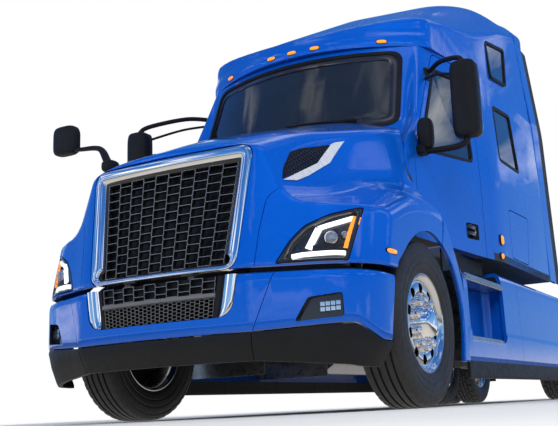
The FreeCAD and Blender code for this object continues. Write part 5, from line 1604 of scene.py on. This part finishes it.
rim_steps = edge_counts(vent_points, 0.03)
vent_rim = frame_between(
    "vent_rim", along_edges(vent_points, rim_steps),
    along_edges(grown(vent_points, -0.009), rim_steps),
    [(0, 0.004), (0, -0.0024), (0.3, -0.006), (1, -0.003), (1, 0.004)],
    lambda o, i, share, depth: hood_side(*mix_pairs(o, i, share), depth), 50)
vent_left = joined("vent_left", patch("vent_floor", vent_points, 0.03, -0.0015, 0.006, gloss_black),
                   comb("vent_comb", vent_points, 0.030, 0.0022, -0.0050, 0.001),
                   dress(vent_rim, black_plastic),
                   patch("vent_blade", blade_points, 0.04, -0.008, 0.012, satin_silver))
finish_piece(with_mirror("hood_vents", vent_left), "hood", "chrome", angle=40)


# Mirrors

def powered(value, power):
    return copysign(abs(value) ** (2 / power), value)


def soft_box(name, centre, half, plan=3.0, tall=4.0, front=0.0, material=black_plastic):
    """A box with rounded sides and ends. The front may bulge by a share of its depth."""
    rings = []
    for a in spread(-pi / 2, pi / 2, 18):
        rise, share = powered(sin(a), tall), max(abs(cos(a)) ** (2 / tall), 0.02)
        ring = []
        for k in range(36):
            x, y = [powered(w(2 * pi * k / 36), plan) * share for w in (cos, sin)]
            if y < 0:
                y *= 1 - front + front * sqrt(max(0.0, 1 - 0.8 * x * x))
            ring.append((centre[0] + half[0] * x, centre[1] + half[1] * y,
                         centre[2] + half[2] * rise))
        rings.append(ring)
    return dress(tidy(skin(name, rings), 50), material)


def mirror_pane(name, at, half_x, half_z):
    """A slightly crowned glass on the back of a housing."""
    return dome(name, at, (half_x, half_z, 0.004), (0, 1, 0), mirror_glass, 4, 36, 7.0)


def arm(name, points, steps, radius, sides):
    return dress(tube(name, smooth_path(points, steps), radius, sides), black_plastic)


head_x, head_y, head_z = 1.385, 0.410, 2.020
for_both("door_mirror", [
    soft_box("mirror_shell", (head_x, head_y, head_z), (0.094, 0.070, 0.268), 3.6, 7.0, 0.5),
    soft_box("mirror_rim", (head_x, 0.455, head_z), (0.0935, 0.024, 0.266), 5.0, 8.0,
             material=gloss_black),
    mirror_pane("mirror_main", (head_x, 0.477, 2.092), 0.080, 0.170),
    mirror_pane("mirror_wide", (head_x, 0.477, 1.832), 0.078, 0.068),
    arm("mirror_low_arm", [(1.000, 0.430, 1.712), (1.120, 0.420, 1.706), (1.290, 0.412, 1.700),
                           (1.368, head_y, 1.722), (1.380, head_y, 1.780)], 7, 0.021, 16),
    arm("mirror_high_arm", [(0.945, 0.870, 2.440), (1.000, 0.840, 2.452), (1.130, 0.690, 2.440),
                            (1.330, 0.470, 2.350), (1.384, 0.415, 2.285),
                            (head_x, head_y, 2.240)], 7, 0.018, 16),
    arm("mirror_brace", [(0.960, 0.800, 2.380), (1.120, 0.640, 2.330), (1.300, 0.450, 2.230)], 6,
        0.010, 12),
    soft_box("mirror_high_foot", (0.958, 0.850, 2.420), (0.030, 0.050, 0.062)),
    soft_box("mirror_low_foot", (1.046, 0.425, 1.722), (0.046, 0.052, 0.036)),
    soft_box("mirror_small_head", (1.082, 0.420, 1.832), (0.056, 0.052, 0.112), 2.8, 3.6, 0.3),
    mirror_pane("mirror_small_glass", (1.084, 0.469, 1.836), 0.040, 0.088)],
    "door_%s", "black_plastic", "mirror_%s", 50)

stem = smooth_path([(-0.640, -0.752, 1.590), (-0.690, -0.745, 1.660), (-0.755, -0.725, 1.752),
                    (-0.830, -0.712, 1.786), (-0.960, -0.708, 1.800), (-1.060, -0.705, 1.815)], 6)
stem_radii = [0.034 - 0.016 * min(1.0, i / 24) for i in range(len(stem))]
finish_piece(joined(
    "hood_mirror_made",
    soft_box("hood_mirror_shell", (-1.088, -0.705, 1.882), (0.099, 0.050, 0.100), 3.6, 4.6, 0.45),
    mirror_pane("hood_mirror_glass", (-1.088, -0.657, 1.882), 0.081, 0.082),
    dress(tube("hood_mirror_stem", stem, stem_radii, 16, 0.75), black_plastic),
    soft_box("hood_mirror_foot", (-0.662, -0.750, 1.622), (0.050, 0.052, 0.040), 3.0, 3.0)),
    "hood", "black_plastic", ["hood_mirror"], 50)


# Side fairings with steps, and the panels behind the sleeper

fairing_low = 0.285
fairing_high = 1.000
fairing_front = 0.700
fairing_rear = wheelbase - 0.650
fairing_thick = 0.028
skirt_drop = 0.110
step_high = 0.890
step_low = 0.445
step_front = 0.780
step_rear = 1.650
extender_end = cab_back + 0.260
trim_length = 0.190
cap_rise = 0.070
leg_shares = [(0.59, 2.055), (0.95, 1.83), (1.21, 1.40), (1.25, 1.0), (1.17, 0.564),
              (1.39, 0.564), (1.39, 1.35), (1.20, 1.80), (0.92, 2.165), (0.72, 2.400)]
fairing_outer_shares = [(0.990, 0.0), (0.997, 0.05), (1.0, 0.30), (0.9925, 0.335), (0.990, 0.70),
                        (0.984, 0.90), (0.972, 0.965), (0.950, 1.0), (0.880, 1.0)]

fairing_line = rounded_pairs([(x * half_width, fairing_low + z * (fairing_high - fairing_low))
                              for x, z in fairing_outer_shares], 0.012, 3, False)
fairing_line += [(min(x - fairing_thick,
                      0.955 * half_width + (z < fairing_high - 0.06) * 0.04),
                  min(z, fairing_high - fairing_thick)) for x, z in reversed(fairing_line)]
panel = skin("fairing_panel", [[(x, y, z) for x, z in fairing_line]
                               for y in spread(fairing_front, fairing_rear, 40)])
recess = rounded_pairs([(step_front, step_low), (step_rear, step_low), (step_rear, step_high),
                        (step_front, step_high)], [0.02, 0.09, 0.02, 0.02])
carve(panel, prism("recess", recess, "x", 1.05, far),
      block("door_room", 1.0, far, fairing_front - 0.1, step_rear - 0.01, step_high - 0.004,
            fairing_high + 0.1),
      *[block("seam", 1.05, far, y, y + 0.005, 0.2, 1.1) for y in (2.090, 3.600)])
leg_line = rounded_pairs([(y * tyre_radius, max(z * tyre_radius, fairing_low - 0.002))
                          for y, z in leg_shares],
                         [0.01, 0.12, 0.16, 0.12, 0.01, 0.01, 0.2, 0.12, 0.10, 0.03])
leg = softened(prism("arch_leg", leg_line, "x", half_width - 0.032, half_width), 0.009, 3)
liner_line = rounded([(half_width - 0.034, step_front - 0.022, 0), (0.962, step_front - 0.012, 0),
                      (0.962, step_rear - 0.10, 0), (1.02, step_rear + 0.03, 0),
                      (half_width - 0.034, step_rear + 0.03, 0)], [0, 0.05, 0.16, 0.12, 0], 8)
liner_inner = [(p[0] - way[1] * 0.004, p[1] + way[0] * 0.004) for p, way in ways_along(liner_line)]
liner = skin("step_liner", [[(p[0], p[1], z) for p in liner_line + liner_inner[::-1]]
                            for z in spread(step_low - 0.012, step_high + 0.002, 6)])
crease_top = drip_height + 0.72 * roof_rise
extender_rows = [(cab_floor_height, half_width),
                 (drip_height, cab_level_shares[-1][8] * half_width),
                 (crease_top, roof_shares[-1][2] * half_width),
                 (crease_top + 0.2, roof_shares[-1][2] * half_width - 0.03)]


def side_sheet(name, y0, y1, thick, inset, material):
    rings = []
    for z in spread(cab_floor_height + 0.014, crease_top, 30):
        x = eased(extender_rows, z, 0.08)[1] - inset
        rings.append([(x - thick, y0, z), (x - 0.006, y0, z), (x, y0 + 0.008, z),
                      (x, y1 - 0.010, z), (x - 0.008, y1, z), (x - thick, y1, z)])
    return dress(skin(name, rings), material)


def cap_ring(y, inset):
    rise = cap_rise * (y - cab_back) / (extender_end - cab_back)
    half = roof_half(1.0, inset, crease_top)
    return arched([(half[1][0], crease_top)] + [(x, z + rise) for x, z in half[1:]], y)


def cap_skin(name, rings, material):
    return dress(skin(name, rings + [rings[0]], closed=False, caps=False), material)


cap_ys = spread(cab_back + 0.006, extender_end, 8)
cap = cap_skin("roof_cap", [cap_ring(y, 0.0) for y in cap_ys]
               + [cap_ring(y, fairing_thick) for y in reversed(cap_ys)], paint)
cap_lap = cap_skin("cap_lap", [cap_ring(cab_back + y, inset) for y, inset in (
    (-0.004, 0.013), (0.030, 0.013), (0.030, 0.024), (-0.004, 0.024))], rubber)
left_side = joined("side_left", *[dress(thing, paint) for thing in (panel, leg, liner)],
                   side_sheet("extender", cab_back + 0.006, extender_end, fairing_thick, 0.0,
                              paint))
finish_piece(with_mirror("side_fairings_made", left_side, cap), "chassis", "blue_paint",
             ["side_fairings"], 32)

# black pieces: bumper's foot, lower grille, skirts, rubber edges and mud flaps
skirt = softened(block("skirt", half_width - 0.028, half_width - 0.008, fairing_front,
                       fairing_rear, fairing_low - skirt_drop, fairing_low + 0.022), 0.012, 2)
carve(skirt, *[block("seam", 1.1, far, y, y + 0.004, 0.1, 0.35)
               for y in (1.25, 2.09, 2.85, 3.60)])
flap_outer = dual_out + tyre_width / 2
flap_rings = []
for k, x in enumerate(spread(dual_in - tyre_width / 2, flap_outer, 24)):
    y = flap_y + 0.004 * cos(k * pi)
    flap_rings.append([(x, y - 0.005, fairing_low), (x, y + 0.004, fairing_low),
                       (x, y + 0.004, 0.806), (x, y - 0.005, 0.806)])
dark_left = joined(
    "dark_left", dress(skirt, valance_grey),
    side_sheet("extender_rubber", extender_end + 0.001, extender_end + trim_length, 0.008, 0.005,
               rubber),
    side_sheet("extender_seam", cab_back - 0.004, cab_back + 0.030, 0.012, 0.014, rubber),
    dress(skin("mud_flap", flap_rings), rubber),
    dress(tube("flap_hanger", [(0.432, flap_y, 0.833), (flap_outer, flap_y, 0.833)], 0.026, 16),
          frame_steel))
finish_piece(joined("dark_trims_made", valance, cap_lap, *low_parts, dark_left,
                    mirrored(dark_left)), "chassis", "black_plastic", ["black_trims"])


# Step treads: bright strips with rows of raised diamonds

def tread(y0, y1, x0, x1, z, tall):
    plate_made = softened(block("tread", x0, x1, y0, y1, z - tall, z), 0.009, 1)
    columns, rows = int((y1 - y0) / 0.030), max(2, int((x1 - x0) / 0.024))
    studs = [((x0 + (r + 0.5) * (x1 - x0) / rows, y0 + (c + 0.5) * (y1 - y0) / columns,
               z + 0.0008), (0.007, 0.0032, 0.0022), 0.7 if (c + r) % 2 else -0.7, 0.0)
             for c in range(columns) for r in range(rows)]
    ribs = [((x1 + 0.0008, y0 + (c + 0.5) * (y1 - y0) / (2 * columns), z - tall / 2),
             (0.002, 0.0040, tall * 0.34), 0.0, 0.0) for c in range(2 * columns)]
    return [dress(plate_made, tread_plate), slab_row("studs", studs, tread_plate),
            slab_row("ribs", ribs, tread_plate)]


shelf_back = block("shelf_back", 1.010, 1.022, step_front - 0.04, step_rear + 0.02,
                   step_high + 0.01, cab_floor_height - 0.012)
treads_left = joined(
    "treads_left", *tread(step_front - 0.04, step_rear - 0.02, 1.040, 1.186, step_high + 0.008,
                          0.044),
    *tread(step_front + 0.006, step_rear - 0.10, 1.045, 1.186, step_low + 0.020, 0.048),
    dress(shelf_back, valance_grey))
finish_piece(with_mirror("step_treads", treads_left), "chassis", "bright_aluminium", angle=30)


# Seats and bunk: padded pieces blown up a little by a cloth simulation, then seamed

def puffed(thing, voxel, pressure, cap, floor=None):
    """Blows a closed pad up with cloth pressure and keeps every point within a cap of its start."""
    softened(thing, voxel, 4)
    start = [v.co.copy() for v in thing.data.vertices]
    cloth = thing.modifiers.new("pad", "CLOTH")
    cloth.settings.quality = 4
    cloth.settings.mass = 0.4
    cloth.settings.tension_stiffness = 12
    cloth.settings.compression_stiffness = 12
    cloth.settings.bending_stiffness = 1.5
    cloth.settings.use_pressure = True
    cloth.settings.uniform_pressure_force = pressure
    cloth.settings.effector_weights.gravity = 0.0
    cloth.collision_settings.use_collision = False
    cloth.point_cache.frame_start = 1
    cloth.point_cache.frame_end = 16
    for moment in range(1, 17):
        bpy.context.scene.frame_set(moment)
    baked(thing)
    bpy.context.scene.frame_set(1)
    for vertex, first in zip(thing.data.vertices, start):
        way = vertex.co - first
        if way.length > cap:
            vertex.co = first + way * (cap / way.length)
        if floor is not None and vertex.co.z < floor:
            vertex.co.z = floor
    finer = thing.modifiers.new("finer", "SUBSURF")
    finer.levels = 1
    finer.render_levels = 1
    return baked(thing)


def channelled(thing, axis, places, facing, deep=0.007, wide=0.010):
    """Presses sewn channels into the side of a pad that faces one way."""
    normals = [n.vector.copy() for n in thing.data.vertex_normals]
    for vertex, normal in zip(thing.data.vertices, normals):
        side = normal.dot(facing)
        if side >= 0.3:
            press = sum(exp(-((vertex.co[axis] - place) / wide) ** 2) for place in places)
            vertex.co -= normal * (deep * min(press, 1.0) * min(1.0, (side - 0.3) * 3))


seat_x = 0.500
seat_half = 0.250
seat_base_top = 1.440
cushion_top = 1.590
back_top = 2.260
seat_front = 1.280
seat_rear = 1.760
bunk_front = 2.280
bunk_top = 1.660
mattress_thick = 0.130
pinch = 0.014
upward = Vector((0, 0, 1))
square = rounded_pairs([(-1, -1), (1, -1), (1, 1), (-1, 1)], 0.22)
back_lean = 0.080 / (back_top - cushion_top)


def seat_ring(z, margin, share=1.0):
    """An outline of the cushion, a margin inside its full size."""
    return [(seat_x + a * (seat_half - margin) * share, (seat_front + seat_rear) / 2
             + b * ((seat_rear - seat_front) / 2 - margin) * share, z) for a, b in square]


def back_y(z):
    return seat_rear - 0.066 + back_lean * (z - cushion_top)


def back_pad(name, z0, z1, half):
    """A pad along the leaning back between two heights."""
    rings = []
    for share in (0.0, 0.12, 0.5, 0.88, 1.0):
        z = z0 + (z1 - z0) * share
        end = share in (0.0, 1.0)
        deep = 0.050 * (0.80 if end else 1.0)
        wide = half * (0.93 if end else 1.0) * (1.0 if share < 0.6 else 0.94)
        outline = rounded_pairs([(-wide, -deep), (wide, -deep), (wide, deep), (-wide, deep)],
                                0.034)
        rings.append([(seat_x + a, back_y(z) + b, z) for a, b in outline])
    return puffed(skin(name, rings), 0.014, 4.0, 0.016)


def piping(name, line):
    """A sewn cord along a closed line of points."""
    return dress(tube(name, line + line[:1], 0.0042, 8), rubber)


cushion = puffed(skin("seat_cushion", [seat_ring(z, pinch, share) for z, share in (
    (seat_base_top + 0.001, 0.93), (seat_base_top + 0.045, 0.97), (cushion_top - 0.045, 0.97),
    (cushion_top - pinch, 0.90))]), 0.014, 4.0, 0.022, seat_base_top + 0.0005)
channelled(cushion, 0, [seat_x - 0.12, seat_x + 0.12], upward)
channelled(cushion, 1, [axle_y + seat_front + 0.17, axle_y + seat_front + 0.29], upward, 0.005)
back = back_pad("seat_back", cushion_top + 0.012, 2.030, 0.215)
facing = Vector((0, -1, 0.12)).normalized()
channelled(back, 0, [seat_x - 0.11, seat_x + 0.11], facing)
channelled(back, 2, [1.74, 1.88], facing, 0.005)
head = back_pad("head_pad", 2.062, back_top - 0.012, 0.125)
channelled(head, 0, [seat_x], facing, 0.004)
seam = piping("seat_seam", seat_ring(cushion_top - 0.052, 0.006))
head_posts = joined("head_posts_left", *[
    tube("head_post", [(seat_x + dx, back_y(2.04) - 0.003, 1.99),
                       (seat_x + dx, back_y(2.04) + 0.002, 2.10)], 0.006, 12)
    for dx in (-0.06, 0.06)])
for thing in (cushion, back, head, seam, dress(head_posts, polished)):
    padded = thing in (cushion, back, head)
    if padded:
        dress(thing, seat_cloth)
    for piece in (thing, mirrored(thing, thing.name + "_right")):
        finish_piece(piece, "chassis", "seat_cloth", angle=60)

bed_half = 0.90 * half_width - pinch
bed_y0, bed_y1 = bunk_front + pinch, cab_back - cab_wall - 0.012 - pinch
bed_line = rounded_pairs([(-bed_half, bed_y0), (bed_half, bed_y0), (bed_half, bed_y1),
                          (-bed_half, bed_y1)], 0.07)
bed_middle = (bunk_front + cab_back - cab_wall) / 2


def bed_ring(lift, share):
    return [(a * share, bed_middle + (b - bed_middle) * share, bunk_top + lift)
            for a, b in bed_line]


mattress = puffed(skin("mattress", [bed_ring(*row) for row in (
    (0.001, 0.985), (0.030, 1.0), (mattress_thick - 0.040, 1.0),
    (mattress_thick - pinch, 0.975))]), 0.024, 3.0, 0.014, bunk_top + 0.0005)
channelled(mattress, 0, [-0.72, -0.36, 0.0, 0.36, 0.72], upward, 0.010, 0.018)
channelled(mattress, 1, [axle_y + 2.58, axle_y + 2.92], upward, 0.008, 0.018)
finish_piece(dress(mattress, bed_cloth), "chassis", "seat_cloth", ["seats"], 60)
finish_piece(piping("bed_seam", bed_ring(mattress_thick - 0.034, 1.004)), "chassis", "seat_cloth",
             angle=60)


# Inside the windshield: visors and a centre pod; outside: wipers

visor_section = [(0.0, 2.585), (-0.006, 2.60), (-0.010, 2.50), (-0.020, 2.425), (-0.008, 2.418),
                 (0.006, 2.50)]
visor = skin("visor", [[(x, front_face_y(x, 2.56) + 0.060 + dy, z) for dy, z in visor_section]
                       for x in spread(0.10, 0.70, 8)])
centre_pod = soft_box("centre_pod", (0.0, front_face_y(0, 2.5) + 0.075, 2.51),
                      (0.055, 0.040, 0.065), 4.0, 4.0)


def wiper(pivot_x, tip_x):
    """One wiper: a spindle cap, a bowed arm and a blade in its holder."""
    foot = cab_z(windshield_shares[0][1])
    low_z, blade_z = foot - 0.018, foot + 0.050
    pivot = (pivot_x, front_face_y(pivot_x, low_z) - 0.016, low_z)
    parts = [dome("wiper_cap", pivot, (0.020, 0.020, 0.016), (0, -0.8, 0.6), black_plastic, 5, 20,
                  2.0)]
    path = []
    for t in spread(0.0, 1.0, 8):
        x = pivot_x + (tip_x - pivot_x) * 0.55 * t
        z = low_z + (blade_z - low_z) * sin(t * pi / 2)
        path.append((x, front_face_y(x, z) - 0.018 - 0.010 * sin(pi * t), z))
    parts.append(tube("wiper_arm", path, spread(0.010, 0.005, 8), 10))
    for lift, radius, squash in ((-0.012, 0.0065, 1.3), (-0.004, 0.0035, 2.0)):
        path = []
        for t in spread(0.0, 1.0, 14):
            x = pivot_x + (tip_x - pivot_x) * (0.12 + 0.88 * t)
            z = blade_z + 0.012 * t
            path.append((x, front_face_y(x, z) + lift, z))
        parts.append(tube("wiper_blade", path, radius, 10, squash))
    return [dress(part, black_plastic) for part in parts]


finish_piece(with_mirror("visors_and_wipers", dress(visor, trim_grey), centre_pod,
                         *wiper(0.640, 0.060), *wiper(-0.080, -0.640)), "chassis",
             "black_plastic", angle=40)


# Materials of the CAD nodes that stay

node_materials = {
    paint: "cab_back cab_front cab_roof cab_sides hood bumper door_left door_right "
           "luggage_door_left luggage_door_right side_fairings",
    cast_steel: "axles knuckle_left knuckle_right fifth_wheel_plate",
    frame_steel: "frame fifth_wheel_base cab_floor",
    black_plastic: "grille mirror_left mirror_right hood_mirror",
    engine_grey: "powertrain", trim_grey: "cab_fittings", valance_grey: "black_trims",
    tank_aluminium: "tanks_and_steps", chrome: "grille_surround", gloss_black: "headlamps",
    amber: "lamps", screen_glass: "glass", side_glass: "door_glass_left door_glass_right",
    seat_cloth: "seats"}
for node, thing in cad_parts.items():
    made = [m for m, names in node_materials.items() if node in names.split()]
    dress(thing, made[0] if made else tyre_rubber if "tyre" in node else polished)


# Floor, light and camera

world = bpy.data.worlds.new("studio")
bpy.context.scene.world = world
world.use_nodes = True
sky_tree = world.node_tree
background = sky_tree.nodes["Background"]
feed(sky_tree, background, {"Color": (0.72, 0.76, 0.82, 1.0), "Strength": 0.36})
seen = added(sky_tree, "Background", {"Color": (1.0, 1.0, 1.0, 1.0), "Strength": 1.0})
sky = added(sky_tree, "Background", {"Strength": 1.6})
rays = added(sky_tree, "LightPath", {})
either = added(sky_tree, "Math", {0: rays.outputs["Is Camera Ray"],
                                            1: rays.outputs["Is Transmission Ray"]},
               operation="MAXIMUM")
# what paint and chrome mirror: dark ground, a pale skyline, blue above it and broken cloud
place = added(sky_tree, "TexCoord", {})
split = added(sky_tree, "SeparateXYZ", {"Vector": place.outputs["Generated"]})
ramp = added(sky_tree, "ValToRGB", {})
stops = ramp.color_ramp.elements
stops[0].color = (0.42, 0.41, 0.40, 1)
stops[1].color = (0.03, 0.09, 0.26, 1)
for spot, shade in ((0.38, (0.33, 0.32, 0.31, 1)), (0.46, (0.08, 0.085, 0.085, 1)),
                    (0.492, (0.03, 0.035, 0.04, 1)), (0.505, (0.62, 0.65, 0.70, 1)),
                    (0.53, (0.15, 0.29, 0.50, 1)), (0.64, (0.03, 0.14, 0.41, 1)),
                    (0.80, (0.02, 0.09, 0.32, 1))):
    stops.new(spot).color = shade
lift = added(sky_tree, "MapRange", {"From Min": -1.0, "From Max": 1.0,
                                              "Value": split.outputs["Z"]})
feed(sky_tree, ramp, {"Fac": lift.outputs["Result"]})
clouds = added(sky_tree, "TexNoise", {"Scale": 2.6, "Detail": 5.0, "Roughness": 0.55})
flatter = added(sky_tree, "Mapping", {"Scale": (1.0, 1.0, 2.4),
                                                "Vector": place.outputs["Generated"]})
feed(sky_tree, clouds, {"Vector": flatter.outputs["Vector"]})
cover = ranged(sky_tree, clouds.outputs["Fac"], 0.0, 1.0, 0.54, 0.70)
above = ranged(sky_tree, split.outputs["Z"], 0.0, 1.0, 0.01, 0.10)
cloud_share = added(sky_tree, "Math", {0: cover, 1: above}, operation="MULTIPLY")
feed(sky_tree, sky, {"Color": mixed(sky_tree, cloud_share.outputs["Value"],
                                    ramp.outputs["Color"], (0.95, 0.97, 1.0))})
gloss_mix = added(sky_tree, "MixShader", {
    "Fac": rays.outputs["Is Glossy Ray"], 1: background.outputs["Background"],
    2: sky.outputs["Background"]})
seen_mix = added(sky_tree, "MixShader", {
    "Fac": either.outputs["Value"], 1: gloss_mix.outputs["Shader"],
    2: seen.outputs["Background"]})
feed(sky_tree, sky_tree.nodes["World Output"], {"Surface": seen_mix.outputs["Shader"]})


def softbox(name, at, aim, wide, tall, watts):
    data = bpy.data.lights.new(name, "AREA")
    data.shape = "RECTANGLE"
    data.size, data.size_y = wide, tall
    data.energy = watts
    lamp = new_object(name, data)
    lamp.location = Vector(at) + Vector((0, axle_y, 0))
    way = Vector(aim) + Vector((0, axle_y, 0)) - lamp.location
    lamp.rotation_mode = "QUATERNION"
    lamp.rotation_quaternion = way.to_track_quat("-Z", "Y")
    lamp.visible_glossy = False


softbox("key_softbox", (5.5, -7.0, 7.5), (0.0, 0.0, 1.6), 5.0, 4.0, 900)
softbox("front_softbox", (-5.0, -9.0, 4.0), (0.0, 0.0, 1.4), 6.0, 3.0, 330)
softbox("side_softbox", (9.0, 4.0, 5.0), (0.8, 2.5, 1.6), 7.0, 3.0, 420)
softbox("back_softbox", (-6.0, 9.0, 6.0), (0.0, 4.0, 1.6), 6.0, 4.0, 450)

floor_made, floor_tree, floor_shader = nodes_of("studio_floor")
feed(floor_tree, floor_shader, {
    "Base Color": mixed(floor_tree, ranged(floor_tree, noise(floor_tree, 0.6), 0, 1),
                        (0.62, 0.62, 0.62), (0.68, 0.68, 0.68)),
    "Roughness": 0.9, "Emission Color": (1.0, 1.0, 1.0, 1.0)})
# far from the truck the floor brightens until it meets the white backdrop
far_place = added(floor_tree, "TexCoord", {})
far_off = added(floor_tree, "VectorMath", {0: far_place.outputs["Object"]},
                operation="LENGTH")
feed(floor_tree, floor_shader, {"Emission Strength": ranged(
    floor_tree, far_off.outputs["Value"], 0.0, 0.75, 7.0, 15.0)})
floor_made.cycles.emission_sampling = "NONE"
floor = skin("studio_floor", [[(x, y, z) for x, y in ((-60, -60), (60, -60), (60, 60), (-60, 60))]
                              for z in (-0.004, 0.0)])
dress(floor, floor_made)
floor.visible_glossy = False

# The photograph's own view: the camera's place, its turns and its lens, found from the truck's
# measured points
camera_at = Vector((3.0466, -4.9745, 0.0295))
camera_yaw = radians(25.83)
camera_pitch = radians(11.68)
camera_roll = radians(-2.80)
photo_width = 558
photo_height = 426
focal_pixels = 870.0
centre_column = 345.1
centre_row = 226.8
look = Vector((-sin(camera_yaw) * cos(camera_pitch), cos(camera_yaw) * cos(camera_pitch),
               sin(camera_pitch)))
level = look.cross(upward).normalized()
upright = level.cross(look)
right = level * cos(camera_roll) + upright * sin(camera_roll)
up = upright * cos(camera_roll) - level * sin(camera_roll)
view_data = bpy.data.cameras.new("photo_view")
view_data.sensor_width = 36.0
view_data.lens = view_data.sensor_width * focal_pixels / photo_width
view_data.shift_x = (photo_width / 2 - centre_column) / photo_width
view_data.shift_y = (centre_row - photo_height / 2) / photo_width
view_data.clip_start = 0.01
view_data.clip_end = 300.0
camera = new_object("photo_view", view_data)
turn = Matrix((right, up, -look)).transposed()
camera.matrix_world = Matrix.Translation(camera_at + Vector((0, axle_y, 0))) @ turn.to_4x4()
bpy.context.scene.camera = camera
bpy.context.scene.view_settings.view_transform = "Standard"
